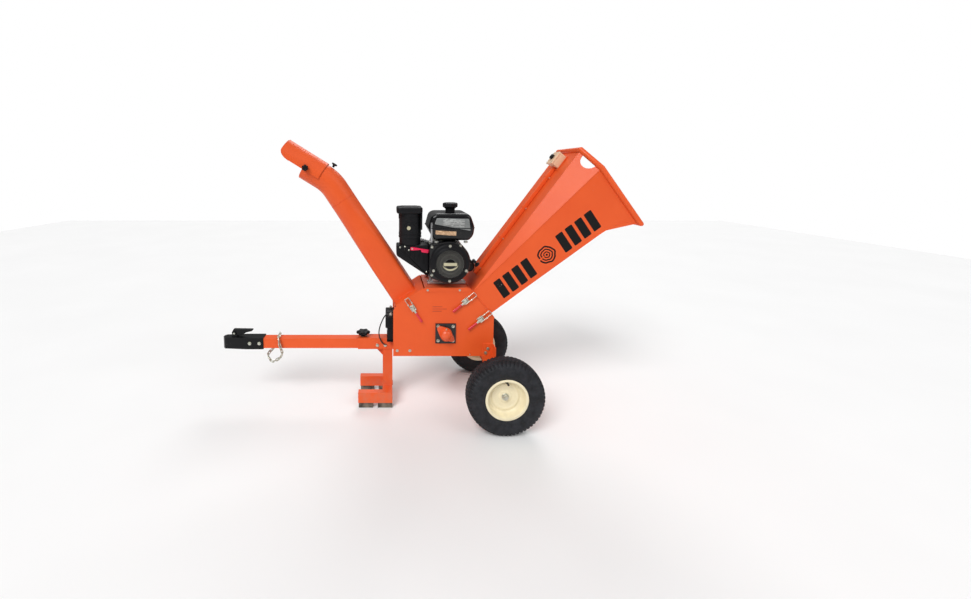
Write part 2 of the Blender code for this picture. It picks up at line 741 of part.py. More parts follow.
def build_tongue(root):
    axis = empty("tongue_axis", (TONGUE_REAR, 0.0, TONGUE_HEIGHT), root)
    half = TONGUE_SIDE / 2
    outer, inner = square_tube((TONGUE_FRONT, TONGUE_REAR), half, TONGUE_WALL, TONGUE_HEIGHT)
    solid("tongue", outer, "orange", axis, cut(inner))

    wall = 0.005
    grip = half + GAP
    shell = grip + wall
    rear = TONGUE_FRONT + 0.072
    ball = TONGUE_FRONT - 0.130
    tip = ball - 0.105 + 0.060
    body = [
        (rear, -shell),
        (rear, shell),
        (TONGUE_FRONT - 0.030, shell),
        (ball + 0.020, 0.028),
        (tip + 0.012, 0.024),
        (tip, 0.010),
        (tip, -0.010),
        (tip + 0.012, -0.024),
        (ball + 0.020, -0.028),
        (TONGUE_FRONT - 0.030, -shell),
    ]
    low, high = TONGUE_HEIGHT - shell, TONGUE_HEIGHT + shell
    coupler = prism(body, low, high, "Z")
    ear_low, ear_high = 0.0125, 0.0165
    ears = [
        prism(
            arc((ball + 0.022, high + 0.022), 0.011, 0, 180, 6)
            + [(ball + 0.008, high - 0.001), (ball + 0.040, high - 0.001)],
            *sorted((side * ear_low, side * ear_high)),
        )
        for side in (NEAR, FAR)
    ]
    pocket = block((TONGUE_FRONT - GAP, rear + 0.01), (-grip, grip), (TONGUE_HEIGHT - grip, TONGUE_HEIGHT + grip))
    socket = turned(
        [(0.0, 0.0), (0.0, 0.0195), (0.040, 0.0195), (0.052, 0.012), (0.056, 0.0)],
        (ball, 0.0, low - 0.002),
        (0, 0, 1),
        20,
    )
    solid("coupler", coupler, "black_paint", axis, add(*ears) + cut(pocket, socket))

    pivot = (ball + 0.022, 0.0, high + 0.022)
    latch_axis = empty("latch_axis", pivot, axis)
    latch = [
        (-0.013, -0.014),
        (-0.016, 0.004),
        (-0.006, 0.023),
        (0.108, 0.021),
        (0.106, 0.012),
        (0.072, 0.004),
        (0.050, -0.010),
        (0.030, -0.016),
    ]
    outline = [(pivot[0] + x, pivot[2] + z) for x, z in latch]
    solid("coupler_latch", prism(outline, -0.012, 0.012), "black_paint", latch_axis)

    knob_x = HITCH_REAR - GAP - RECEIVER_LENGTH + 0.031
    seat = TONGUE_HEIGHT + RECEIVER_HALF + GAP
    knob_axis = empty("tongue_knob_axis", (knob_x, 0.0, seat), root)
    neck = rod((knob_x, 0.0, seat), (knob_x, 0.0, seat + 0.016), 0.013, 16)
    stud = rod((knob_x, 0.0, seat - 0.003), (knob_x, 0.0, seat + 0.01), 0.005, 12)
    outline = [(knob_x + x, y) for x, y in star(0.042, 0.012, 6)]
    head = prism(outline, seat + 0.014, seat + 0.034, "Z")
    solid("tongue_knob", head, "plastic", knob_axis, add(neck, stud))


def route_point(before, start, end, after, t):
    """A point at share t between start and end of a Catmull-Rom curve."""
    return 0.5 * (
        2 * start
        + (end - before) * t
        + (2 * before - 5 * start + 4 * end - after) * t**2
        + (3 * start - before - 3 * end + after) * t**3
    )


def smooth_route(points, steps, ring):
    """Points of a smooth curve through the given ones, closed or open."""
    known = [Vector(point) for point in points]
    if ring:
        held = known[-1:] + known + known[:2]
    else:
        held = [known[0] * 2 - known[1]] + known + [known[-1] * 2 - known[-2]]
    found = []
    for before, start, end, after in zip(held, held[1:], held[2:], held[3:]):
        found += [route_point(before, start, end, after, step / steps) for step in range(steps)]
    return found if ring else found + known[-1:]


def round_rod(name, points, radius, ring, material, parent):
    """A round rod along a route of points, as a curve on its parent's axis."""
    curve = bpy.data.curves.new(name, "CURVE")
    curve.dimensions = "3D"
    spline = curve.splines.new("POLY")
    spline.points.add(len(points) - 1)
    place = Vector(parent["place"])
    for spot, point in zip(spline.points, points):
        spot.co = (*(point - place), 1.0)
    spline.use_cyclic_u = ring
    curve.bevel_depth = radius
    curve.bevel_resolution = 2
    curve.use_fill_caps = not ring
    curve.materials.append(finish(material))
    obj = bpy.data.objects.new(name, curve)
    bpy.context.scene.collection.objects.link(obj)
    obj.parent = parent
    return obj


def build_chain(root, tongue_axis):
    """The safety chain's outer shape: a loop slung over the tongue."""
    x = TONGUE_FRONT + 0.163
    clear = TONGUE_SIDE / 2 + 0.0095
    top = TONGUE_HEIGHT + clear
    route = [
        (x, 0.0, top + 0.001),
        (x + 0.002, -0.024, top),
        (x + 0.006, -clear - 0.003, top - 0.012),
        (x + 0.014, -clear - 0.003, TONGUE_HEIGHT - 0.020),
        (x + 0.022, -clear + 0.004, TONGUE_HEIGHT - 0.058),
        (x + 0.002, -0.016, TONGUE_HEIGHT - 0.098),
        (x - 0.046, -0.004, TONGUE_HEIGHT - 0.124),
        (x - 0.076, 0.010, TONGUE_HEIGHT - 0.090),
        (x - 0.050, clear - 0.004, TONGUE_HEIGHT - 0.060),
        (x - 0.014, clear + 0.003, TONGUE_HEIGHT - 0.020),
        (x - 0.006, clear + 0.003, top - 0.012),
        (x - 0.002, 0.024, top),
    ]
    axis = empty("chain_axis", (x, 0.0, top), tongue_axis)
    round_rod("safety_chain", smooth_route(route, 4, True), CHAIN_RADIUS, True, "zinc", axis)


# Battery


def build_battery(root):
    width, depth, height = BATTERY_SIZE
    rear = HITCH_REAR - GAP
    front = rear - 0.004 - width
    floor = TONGUE_HEIGHT + RECEIVER_HALF + GAP
    tray_top = floor + 0.003
    low = tray_top + GAP
    top = low + height
    case = bevelled(block((front, front + width), (-depth / 2, depth / 2), (low, top)), 0.004, 1)
    posts = [
        block(
            (front + 0.012, front + 0.030),
            (side * (depth / 2 - 0.030), side * (depth / 2 - 0.012)) if side > 0
            else (side * (depth / 2 - 0.012), side * (depth / 2 - 0.030)),
            (top - 0.001, top + 0.012),
        )
        for side in (NEAR, FAR)
    ]
    solid("battery", case, "plastic", root, add(*posts))

    strap_half = 0.012
    wall = 0.002
    outer_front = front - GAP - wall
    tray = block((outer_front, rear), (-depth / 2 - 0.004, depth / 2 + 0.004), (floor, tray_top))
    strap = [
        (outer_front, tray_top - 0.001),
        (outer_front, top + GAP + wall),
        (rear, top + GAP + wall),
        (rear, top + GAP),
        (front - GAP, top + GAP),
        (front - GAP, tray_top - 0.001),
    ]
    solid("battery_tray", tray, "black_paint", root, add(prism(strap, -strap_half, strap_half)))


def build_cable(root):
    """The battery lead: from the near terminal, in a loop past the front, to a bolt on the receiver."""
    side = -RECEIVER_HALF - 0.006
    face = HITCH_REAR - BATTERY_SIZE[0] - 0.0043
    terminal = TONGUE_HEIGHT + RECEIVER_HALF + BATTERY_SIZE[2] + 0.0095
    route = [
        (face + 0.008, -0.064, terminal),
        (face - 0.010, -0.062, terminal - 0.006),
        (face - 0.028, -0.058, terminal - 0.036),
        (face - 0.044, -0.054, terminal - 0.080),
        (face - 0.050, -0.050, terminal - 0.120),
        (face - 0.044, -0.046, terminal - 0.155),
        (face - 0.030, side - 0.002, terminal - 0.185),
        (face - 0.010, side, terminal - 0.200),
    ]
    round_rod("battery_cable", smooth_route(route, 5, False), CABLE_RADIUS, False, "rubber", root)


# Engine


def chute_rear(height):
    """Where the chute's rear wall stands at a height."""
    x, z = CHUTE_SEAT.at(2 * CHUTE_HALF_WIDTH - CHUTE_OVERHANG, 0.0)
    return x + (height - z) * CHUTE_SEAT.out.x / CHUTE_SEAT.out.y


def build_engine(root):
    x, z = CRANK
    base = DECK_TOP + GAP
    back = CRANKCASE_BACK
    shroud_back = -SHROUD_DEPTH
    tank_low = z + SHROUD_RADIUS + 0.003
    case = [
        (x - 0.112, base),
        (x + 0.112, base),
        (x + 0.112, base + 0.022),
        (x + 0.086, base + 0.040),
        (x + 0.086, z + 0.085),
        (x + 0.060, tank_low - GAP),
        (x - 0.060, tank_low - GAP),
        (x - 0.086, z + 0.085),
        (x - 0.086, base + 0.040),
        (x - 0.112, base + 0.022),
    ]
    head = [
        (x - 0.080, z - 0.050),
        (x - 0.180, z - 0.030),
        (x - 0.218, z + 0.040),
        (x - 0.190, z + 0.078),
        (x - 0.080, z + 0.090),
    ]
    crankcase = prism(case, shroud_back + GAP, back)
    solid("crankcase", crankcase, "aluminium", root, add(prism(head, -0.030, 0.095)))

    ring = arc((x, z), SHROUD_RADIUS, -118, 92, 22)
    outline = ring + [
        (x - 0.112, z + 0.104),
        (x - 0.112, z - 0.086),
    ]
    front = shroud_back - 0.085
    shroud = bevelled(prism(outline, front, shroud_back), 0.006, 1, math.radians(60))
    solid("blower_housing", shroud, "black_paint", root)

    profile = [
        (0.0, 0.0),
        (0.0, RECOIL_RADIUS),
        (0.014, RECOIL_RADIUS),
        (0.020, RECOIL_RADIUS - 0.008),
        (0.022, RECOIL_RADIUS - 0.024),
        (0.032, RECOIL_RADIUS - 0.030),
        (0.037, 0.050),
        (0.038, 0.0),
    ]
    recoil = turned(profile, (x, front - GAP, z), (0, NEAR, 0), 36)
    solid("recoil_cover", recoil, "plastic", root)

    middle = (x + 0.0155, tank_low + TANK_HEIGHT / 2)
    half, tall = TANK_WIDTH / 2, TANK_HEIGHT / 2
    outline = [
        (-half, -0.010),
        (-half + 0.022, -tall + 0.022),
        (-half + 0.040, -tall),
        (half - 0.030, -tall),
        (half - 0.006, -tall + 0.030),
        (half, 0.0),
        (half - 0.022, tall - 0.014),
        (half - 0.043, tall),
        (-half + 0.043, tall),
        (-half + 0.018, tall - 0.016),
    ]
    points = [(middle[0] + a, middle[1] + b) for a, b in outline]
    tank_near = -0.150
    tank = bevelled(prism(points, tank_near, tank_near + TANK_DEPTH), 0.010, 2, math.radians(60))
    solid("fuel_tank", tank, "plastic", root)

    cap_low = tank_low + TANK_HEIGHT + GAP
    cap_place = (x + 0.018, -0.040, cap_low)
    cap_axis = empty("fuel_cap_axis", cap_place, root)
    profile = [
        (0.0, 0.0),
        (0.0, CAP_RADIUS * 0.62),
        (0.020, CAP_RADIUS * 0.66),
        (0.032, CAP_RADIUS),
        (0.050, CAP_RADIUS),
        (0.055, CAP_RADIUS * 0.92),
        (0.055, 0.0),
    ]
    solid("fuel_cap", turned(profile, cap_place, (0, 0, 1), 28), "plastic", cap_axis)

    cover_right = x - 0.112 - GAP
    cover_top = z + 0.0945
    cover_corner = cover_top - 0.060
    cover_left = chute_rear(cover_corner) + COVER_CLEARANCE
    cover = [
        (cover_left, cover_top),
        (cover_left, cover_corner),
        (cover_right, z - 0.088),
        (cover_right, cover_top),
    ]
    panel = bevelled(prism(cover, -0.140, -0.035), 0.004, 1)
    solid("control_cover", panel, "plastic", root)

    can = (cover_right - 0.1045, -0.085)
    can_low = cover_top + GAP
    can_top = can_low + 0.185
    canister = turned(
        [
            (0.0, 0.0),
            (0.0, CANISTER_RADIUS - 0.003),
            (0.040, CANISTER_RADIUS - 0.003),
            (0.042, CANISTER_RADIUS),
            (0.185, CANISTER_RADIUS),
            (0.185, 0.0),
        ],
        (can[0], can[1], can_low),
        (0, 0, 1),
        30,
    )
    half_cap = 0.073
    lid = bevelled(
        block(
            (can[0] - half_cap - 0.005, can[0] + half_cap - 0.005),
            (can[1] - half_cap + 0.004, can[1] + half_cap - 0.002),
            (can_top - 0.006, can_top + 0.029),
        ),
        0.008,
        2,
    )
    skirt = block(
        (can[0] + half_cap - 0.015, can[0] + half_cap - 0.007),
        (can[1] - half_cap + 0.014, can[1] + half_cap - 0.012),
        (can_top - 0.098, can_top + 0.004),
    )
    solid("air_cleaner", canister, "plastic", root, add(lid, skirt))

    muffler = bevelled(block((x - 0.262, x - 0.150), (0.004, 0.126), (z + 0.096, z + 0.206)), 0.012, 2)
    pipe = rod((x - 0.180, 0.060, z + 0.081), (x - 0.180, 0.060, z + 0.110), 0.016, 14)
    solid("muffler", muffler, "muffler", root, add(pipe))

    starter = turned(
        [(0.0, 0.0), (0.0, 0.022), (0.030, 0.022), (0.032, 0.036), (0.170, 0.036), (0.176, 0.028), (0.176, 0.0)],
        (x + 0.136, -0.052, z - 0.052),
        (0, FAR, 0),
        24,
    )
    solid("starter_motor", starter, "plastic", root)

    lever_place = (x - 0.207, -0.140, z + 0.076)
    lever_axis = empty("choke_lever_axis", lever_place, root)
    lever = [
        (-0.010, -0.008),
        (0.000, -0.011),
        (0.050, -0.007),
        (0.052, -0.020),
        (0.090, -0.026),
        (0.094, -0.006),
        (0.052, 0.000),
        (0.000, 0.009),
        (-0.010, 0.006),
    ]
    outline = [(lever_place[0] + a, lever_place[2] + b) for a, b in lever]
    blade = prism(outline, lever_place[1] - 0.0055, lever_place[1] - GAP * 2)
    solid("choke_lever", blade, "red", lever_axis)

    handle_place = (x + 0.142, front + 0.018, z + 0.006)
    handle_axis = empty("recoil_handle_axis", handle_place, root)
    turn = Matrix.Translation(handle_place) @ Matrix.Rotation(math.radians(-40), 4, "Y")
    grip = bevelled(block((-0.010, 0.010), (-0.030, 0.030), (-0.008, 0.008)), 0.003, 1)
    closed(grip, turn)
    neck = block((-0.007, 0.007), (-0.007, 0.007), (-0.018, -0.006), turn)
    solid("recoil_handle", grip, "plastic", handle_axis, add(neck))


# Feed hopper


def hopper_point(along, out):
    """A point of the near side wall, from its place along and out of the base; the wall leans outwards."""
    x, z = HOPPER_SEAT.at(along, out)
    return Vector((x, -(THROAT_WIDTH / 2 + FLARE * out), z))


def mirrored(point):
    return Vector((point.x, -point.y, point.z))


def hopper_corners():
    """The near half's corners: throat top and bottom, floor bend, mouth bottom, mouth side top, mouth top."""
    throat_start = THROAT_START
    base = GAP + 0.0015
    throat_top = hopper_point(throat_start, base)
    throat_bottom = hopper_point(throat_start + THROAT_HEIGHT, base)
    mouth_bottom = hopper_point(throat_start + 0.250, HOPPER_REACH - 0.028)
    floor_bend = hopper_point(throat_start + 0.171, HOPPER_REACH - 0.190)
    lean = Vector((-0.602, 0.0, 0.798)).normalized()
    side_top = mouth_bottom + lean * MOUTH_SIDE_HEIGHT
    side_top.y = hopper_point(0.0, HOPPER_REACH - 0.004).y
    mouth_top = mouth_bottom + lean * MOUTH_HEIGHT
    mouth_top.y = -THROAT_WIDTH / 2
    return throat_top, throat_bottom, floor_bend, mouth_bottom, side_top, mouth_top


def hopper_panels(corners):
    """The funnel's outer surface, open at the throat and the mouth."""
    bm = bmesh.new()
    near = [bm.verts.new(point) for point in corners]
    far = [bm.verts.new(mirrored(point)) for point in corners]
    for top, bottom, bend, mouth, side, crest in (near, far):
        bm.faces.new((top, bottom, side))
        bm.faces.new((bottom, bend, side))
        bm.faces.new((bend, mouth, side))
        bm.faces.new((top, side, crest))
    for first, second in ((0, 5), (1, 2), (2, 3)):
        bm.faces.new((near[first], near[second], far[second], far[first]))
    bmesh.ops.recalc_face_normals(bm, faces=bm.faces)
    return bm


def seat_flange(seat, half_width):
    return block(
        (0.0, seat.length),
        (-half_width, half_width),
        (GAP, GAP + SEAT_FLANGE),
        seat.matrix(),
    )


def keepers(seat, near_places, far_place):
    """Tabs on the flange's near and far edges, which the clamp hooks catch."""
    tabs = []
    for side, places in ((NEAR, near_places), (FAR, (far_place,))):
        for along in places:
            low, high = sorted((side * (SIDE_OUTER - 0.004), side * (SIDE_OUTER + 0.019)))
            thin = (GAP + 0.0005, GAP + SEAT_FLANGE - 0.0005)
            tabs.append(block((along - 0.008, along + 0.008), (low, high), thin, seat.matrix()))
    return tabs


def build_hopper(root):
    corners = hopper_corners()
    throat_top, _, _, mouth_bottom, side_top, mouth_top = corners
    ring = [mouth_bottom, side_top, mouth_top, mirrored(mouth_top), mirrored(side_top), mirrored(mouth_bottom)]
    lip = mitred_ring(ring, LIP_RADIUS)

    back = (throat_top - side_top).normalized()
    across = (mouth_top - side_top).normalized()
    normal = across.cross(back).normalized()
    middle = (side_top + mouth_top) / 2 + back * 0.012
    grips = []
    for flip in (1, -1):
        centre = Vector((middle.x, flip * middle.y, middle.z))
        way = Vector((normal.x, flip * normal.y, normal.z))
        grips.append(rod(centre - way * 0.03, centre + way * 0.03, 0.046, 20))

    clamps = keepers(HOPPER_SEAT, HOPPER_CLAMPS, HOPPER_FAR_CLAMP)
    throat_half = THROAT_WIDTH / 2 - HOPPER_SHEET - GAP
    throat = block(
        (THROAT_START + HOPPER_SHEET + GAP, THROAT_START + THROAT_HEIGHT - HOPPER_SHEET - GAP),
        (-throat_half, throat_half),
        (-0.01, SEAT_FLANGE + 0.003),
        HOPPER_SEAT.matrix(),
    )
    steps = cut(*grips) + add(seat_flange(HOPPER_SEAT, SIDE_OUTER), *clamps) + cut(throat) + add(lip)
    solid("hopper_shell", hopper_panels(corners), "orange", root, steps, HOPPER_SHEET)

    top_edge = Edge((throat_top.x, throat_top.z), (mouth_top.x, mouth_top.z))
    frame = top_edge.matrix()
    box_end = top_edge.length - LIP_RADIUS - 0.030
    box_start = box_end - 0.080
    box_top = 0.055
    conduit = block((0.084, box_start + 0.005), (-CONDUIT_SIDE / 2, CONDUIT_SIDE / 2), (RUN, CONDUIT_SIDE), frame)
    box = bevelled(block((box_start, box_end), (-0.040, 0.040), (RUN, box_top)), 0.003, 1)
    closed(box, frame)
    plate = block((box_start - 0.012, box_end + 0.006), (-0.048, 0.048), (RUN, 0.004), frame)
    spot = box_start + 0.042
    button_out = Vector((top_edge.out.x, 0.0, top_edge.out.y))
    seat = frame @ Vector((spot, 0.0, box_top))
    hole = rod(seat - button_out * 0.014, seat + button_out * 0.01, 0.0085, 16)
    solid("switch_box", box, "box", root, add(conduit, plate) + cut(hole))

    button_axis = empty("stop_button_axis", seat, root)
    profile = [
        (-0.009, 0.0),
        (-0.009, 0.0075),
        (0.0045, 0.0075),
        (0.0045, 0.016),
        (0.012, 0.016),
        (0.016, 0.011),
        (0.016, 0.0),
    ]
    solid("stop_button", turned(profile, seat, button_out, 20), "plastic", button_axis)

    hinge_along = top_edge.length * 0.42
    hinge_x, hinge_z = top_edge.at(hinge_along, -0.022)
    flap_axis = empty("flap_axis", (hinge_x, 0.0, hinge_z), root)
    flap = block((hinge_x - 0.0025, hinge_x + 0.0025), (-0.132, 0.132), (hinge_z - 0.250, hinge_z + 0.004))
    solid("hopper_flap", flap, "rubber", flap_axis)


# Discharge chute


def rounded_square(half, radius, steps=4):
    """Points round a square with round corners, the same number for every radius."""
    flat = half - radius
    points = []
    for quarter in range(4):
        for step in range(steps + 1):
            turn = math.pi / 2 * (quarter + step / steps)
            corner = math.pi / 4 + math.pi / 2 * quarter
            points.append(
                (
                    flat * round(math.cos(corner) * 1.5) + radius * math.cos(turn),
                    flat * round(math.sin(corner) * 1.5) + radius * math.sin(turn),
                )
            )
    return points


def chute_path():
    """Centres and directions along the chute's middle line, from its flange to its outlet."""
    offset = CHUTE_HALF_WIDTH - CHUTE_OVERHANG
    start = Vector(CHUTE_SEAT.at(offset, 0.0))
    first = CHUTE_SEAT.out
    last = Vector((-math.cos(OUTLET_LEAN), math.sin(OUTLET_LEAN)))
    turn = first.angle(last)
    tangent = BEND_RADIUS * math.tan(turn / 2)
    corner = start + first * CHUTE_LENGTH
    stations = [(start + first * reach, first, reach / CHUTE_LENGTH) for reach in (0.002, 0.12, 0.30, 0.48, 0.62)]
    bend_start = corner - first * tangent
    side = Vector((-first.y, first.x))
    centre = bend_start + side * BEND_RADIUS
    for step in range(7):
        angle = turn * step / 6
        spoke = (bend_start - centre).to_3d()
        spoke.rotate(Matrix.Rotation(angle, 3, "Z"))
        way = first.to_3d()
        way.rotate(Matrix.Rotation(angle, 3, "Z"))
        stations.append((centre + spoke.to_2d(), way.to_2d(), 1.0))
    stations.append((corner + last * OUTLET_LENGTH, last, 1.0))
    return stations, corner, last


def chute_loops(inset, stretch):
    stations, _, _ = chute_path()
    loops = []
    for index, (centre, way, blend) in enumerate(stations):
        half = CHUTE_HALF_WIDTH - inset
        radius = half * (0.28 + 0.68 * min(1.0, max(0.0, (blend - 0.30) / 0.45)))
        if index == 0:
            centre = centre - way * stretch
        if index == len(stations) - 1:
            centre = centre + way * stretch
        across = Vector((way.y, -way.x))
        loops.append(
            [
                Vector((centre.x + across.x * a, b, centre.y + across.y * a))
                for a, b in rounded_square(half, radius)
            ]
        )
    return loops


def build_chute(root):
    outer = loft(chute_loops(0.0, 0.0))
    inner = loft(chute_loops(CHUTE_WALL, 0.02))
    tabs = keepers(CHUTE_SEAT, CHUTE_CLAMPS, CHUTE_CLAMPS[0])
    steps = add(seat_flange(CHUTE_SEAT, SIDE_OUTER), *tabs) + cut(inner)

    _, corner, way = chute_path()
    reach = OUTLET_LENGTH - HOOD_PIVOT_SETBACK
    pivot = corner + way * reach
    place = (pivot.x, 0.0, pivot.y)
    edge = Edge((pivot.x, pivot.y), (pivot.x - way.x, pivot.y - way.y))
    frame = edge.matrix()
    solid("chute", outer, "orange", root, steps)

    axis = empty("deflector_axis", place, root)
    hood_inner = CHUTE_HALF_WIDTH + HOOD_CLEARANCE
    hood_outer = hood_inner + HOOD_THICKNESS
    skirt = 0.016
    outline = (
        [(-hood_outer, -skirt)]
        + [(-a, b) for a, b in arc((0, 0), hood_outer, 0, 180, 18)]
        + [(hood_outer, -skirt), (hood_inner, -skirt)]
        + arc((0, 0), hood_inner, 0, 180, 18)
        + [(-hood_inner, -skirt)]
    )
    sign = 1 if edge.out.y > 0 else -1
    outline = [(a, b * sign) for a, b in outline]
    hood = prism(outline, HOOD_BEHIND - HOOD_LENGTH, HOOD_BEHIND, "X", frame)
    solid("deflector", hood, "orange", axis)

    face = hood_outer + GAP
    knob_axis = empty("deflector_knob_axis", (place[0], -face, place[2]), axis)
    knob = turned(
        [(0.0, 0.0), (0.0, 0.010), (0.006, 0.010), (0.008, 0.019), (0.022, 0.019), (0.024, 0.016), (0.024, 0.0)],
        (place[0], -face, place[2]),
        (0, NEAR, 0),
        20,
    )
    solid("deflector_knob", knob, "plastic", knob_axis)

    seat = frame @ Vector((HOOD_BEHIND + 0.030, 0.0, sign * (CHUTE_HALF_WIDTH + 0.004)))
    up = Vector((edge.out.x, 0.0, edge.out.y)) * sign
    wing_axis = empty("wing_knob_axis", seat, root)
    wing = turned(
        [(0.0, 0.0), (0.0, 0.007), (0.012, 0.007), (0.014, 0.017), (0.022, 0.017), (0.024, 0.012), (0.024, 0.0)],
        seat,
        up,
        18,
    )
    solid("wing_knob", wing, "plastic", wing_axis)


# Clamps: each pulls a flange onto the housing with a lever, a hook and the flange's tab


def clamp_frame(seat, along, side):
    """X towards the flange, Z away from the side plate, with its origin under the lever's pivot."""
    x, z = seat.at(along, -CLAMP_SETBACK)
    towards = Vector((seat.out.x, 0.0, seat.out.y))
    away = Vector((0.0, side, 0.0))
    across = away.cross(towards)
    turn = Matrix((towards, across, away)).transposed().to_4x4()
    return Matrix.Translation((x, side * SIDE_OUTER, z)) @ turn


def clamp_base(frame):
    plate = block((-0.024, 0.013), (-0.014, 0.014), (GAP, 0.0023), frame)
    cheeks = [
        block((-0.006, 0.006), tuple(sorted((s * 0.0068, s * 0.0092))), (0.002, 0.0175), frame)
        for s in (-1, 1)
    ]
    return plate, cheeks


def clamp_lever(frame):
    arm = block((-0.040, 0.0045), (-0.0055, 0.0055), (PIVOT_HEIGHT - 0.0035, PIVOT_HEIGHT + 0.0035), frame)
    grip = bevelled(block((-LEVER_LENGTH, -0.034), (-0.008, 0.008), (0.0085, 0.0185)), 0.003, 1)
    closed(grip, frame)
    return arm, grip


def clamp_hook(frame):
    """A bent rod: two legs, a cross bar past the tab and two short eyes."""
    bar = CLAMP_SETBACK + GAP * 2 + SEAT_FLANGE + HOOK_ROD
    eye = HOOK_HALF - 0.0062
    square = HOOK_ROD
    outline = [
        (-HOOK_BACK - square, -HOOK_HALF - square),
        (bar + square, -HOOK_HALF - square),
        (bar + square, HOOK_HALF + square),
        (-HOOK_BACK - square, HOOK_HALF + square),
        (-HOOK_BACK - square, eye),
        (-HOOK_BACK + square, eye),
        (-HOOK_BACK + square, HOOK_HALF - square),
        (bar - square, HOOK_HALF - square),
        (bar - square, -HOOK_HALF + square),
        (-HOOK_BACK + square, -HOOK_HALF + square),
        (-HOOK_BACK + square, -eye),
        (-HOOK_BACK - square, -eye),
    ]
    return prism(outline, HOOK_HEIGHT - square, HOOK_HEIGHT + square, "Z", frame)


def build_clamps(root):
    spots = [("chute", CHUTE_SEAT, CHUTE_CLAMPS[0])]
    spots += [(f"hopper_{name}", HOPPER_SEAT, place) for name, place in zip(("upper", "lower"), HOPPER_CLAMPS)]
    for name, seat, along in spots:
        frame = clamp_frame(seat, along, NEAR)
        plate, cheeks = clamp_base(frame)
        solid(f"clamp_{name}_base", plate, "zinc", root, add(*cheeks))
        lever_axis = empty(f"clamp_{name}_lever_axis", frame @ Vector((0.0, 0.0, PIVOT_HEIGHT)), root)
        arm, grip = clamp_lever(frame)
        solid(f"clamp_{name}_lever", arm, "red", lever_axis, add(grip))
        hook_axis = empty(f"clamp_{name}_hook_axis", frame @ Vector((-HOOK_BACK, 0.0, HOOK_HEIGHT)), lever_axis)
        solid(f"clamp_{name}_hook", clamp_hook(frame), "zinc", hook_axis)

    for name, seat, along in (("chute", CHUTE_SEAT, CHUTE_CLAMPS[0]), ("hopper", HOPPER_SEAT, HOPPER_FAR_CLAMP)):
        frame = clamp_frame(seat, along, FAR)
        plate, cheeks = clamp_base(frame)
        pin = block((-0.0028, 0.0028), (-0.0080, 0.0080), (PIVOT_HEIGHT - 0.0025, PIVOT_HEIGHT + 0.0025), frame)
        joint = block((-HOOK_BACK - 0.0013, -HOOK_BACK + 0.0013), (-0.0079, 0.0079), (0.0138, 0.0163), frame)
        pieces = add(*cheeks, pin, *clamp_lever(frame), joint, clamp_hook(frame))
        solid(f"clamp_{name}_far", plate, "zinc", root, pieces, solver="MANIFOLD")


def settle_origin(root):
    """Moves the whole model so that the origin is the middle of the bottom of its bounding box."""
    bpy.context.view_layer.update()
    graph = bpy.context.evaluated_depsgraph_get()
    corners = []
    for obj in bpy.context.scene.objects:
        if obj.type == "EMPTY" or obj.hide_render:
            continue
        held = obj.evaluated_get(graph)
        corners += [held.matrix_world @ vert.co for vert in held.to_mesh().vertices]
        held.to_mesh_clear()
    middle = [(min(c[k] for c in corners) + max(c[k] for c in corners)) / 2 for k in (0, 1)]
    bottom = min(corner.z for corner in corners)
    root.location = (-middle[0], -middle[1], -bottom)


def main():
    clear_scene()
    root = empty("chipper")
    build_housing(root)
    build_bearings(root)
    build_rotor(root)
    build_drive(root)
    build_axle(root)
    for side, label in ((NEAR, "near"), (FAR, "far")):
        build_wheel(side, label, root)
    build_stand(root)
    build_tongue(root)
    build_chain(root, bpy.data.objects["tongue_axis"])
    build_battery(root)
    build_cable(root)
    build_engine(root)
    build_hopper(root)
    build_chute(root)
    build_clamps(root)
    settle_origin(root)


main()
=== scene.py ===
"""Looks of the towable wood chipper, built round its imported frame.

Metres, in the frame's own place: the hitch points along -X, the feed hopper along +X, and the recoil starter
faces -Y. Places in the pieces' fields are measured from the axle, which stands at AXLE_X.
"""

from __future__ import annotations

import json
import logging
import math
from dataclasses import dataclass, field
from enum import Enum

import bmesh
import bpy
import numpy as np
from mathutils import Matrix, Vector

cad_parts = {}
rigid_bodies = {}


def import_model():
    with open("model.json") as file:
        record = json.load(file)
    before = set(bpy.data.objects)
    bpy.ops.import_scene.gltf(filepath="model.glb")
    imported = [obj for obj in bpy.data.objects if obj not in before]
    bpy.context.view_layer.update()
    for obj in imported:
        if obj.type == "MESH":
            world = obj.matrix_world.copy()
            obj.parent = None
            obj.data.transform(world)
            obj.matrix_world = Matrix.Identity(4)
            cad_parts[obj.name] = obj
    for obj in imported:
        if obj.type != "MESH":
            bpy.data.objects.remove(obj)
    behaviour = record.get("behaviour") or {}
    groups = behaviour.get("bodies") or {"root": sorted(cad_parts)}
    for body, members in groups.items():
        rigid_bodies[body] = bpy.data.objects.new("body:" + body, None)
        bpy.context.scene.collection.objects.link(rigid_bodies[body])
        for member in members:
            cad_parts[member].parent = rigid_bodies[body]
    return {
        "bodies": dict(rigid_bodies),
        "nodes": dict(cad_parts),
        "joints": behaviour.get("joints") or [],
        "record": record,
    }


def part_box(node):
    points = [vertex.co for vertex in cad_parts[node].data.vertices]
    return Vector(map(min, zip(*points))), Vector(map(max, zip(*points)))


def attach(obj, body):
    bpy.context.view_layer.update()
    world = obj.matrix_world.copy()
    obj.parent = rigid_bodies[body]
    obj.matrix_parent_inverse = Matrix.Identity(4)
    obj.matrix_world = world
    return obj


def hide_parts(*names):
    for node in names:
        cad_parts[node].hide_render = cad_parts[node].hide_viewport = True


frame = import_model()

log = logging.getLogger("chipper")

Colour = tuple[float, float, float]
Points = np.ndarray

AXLE_X = 0.4415
NEAR, FAR = -1.0, 1.0
CHASSIS = "chassis"


# Shader maths


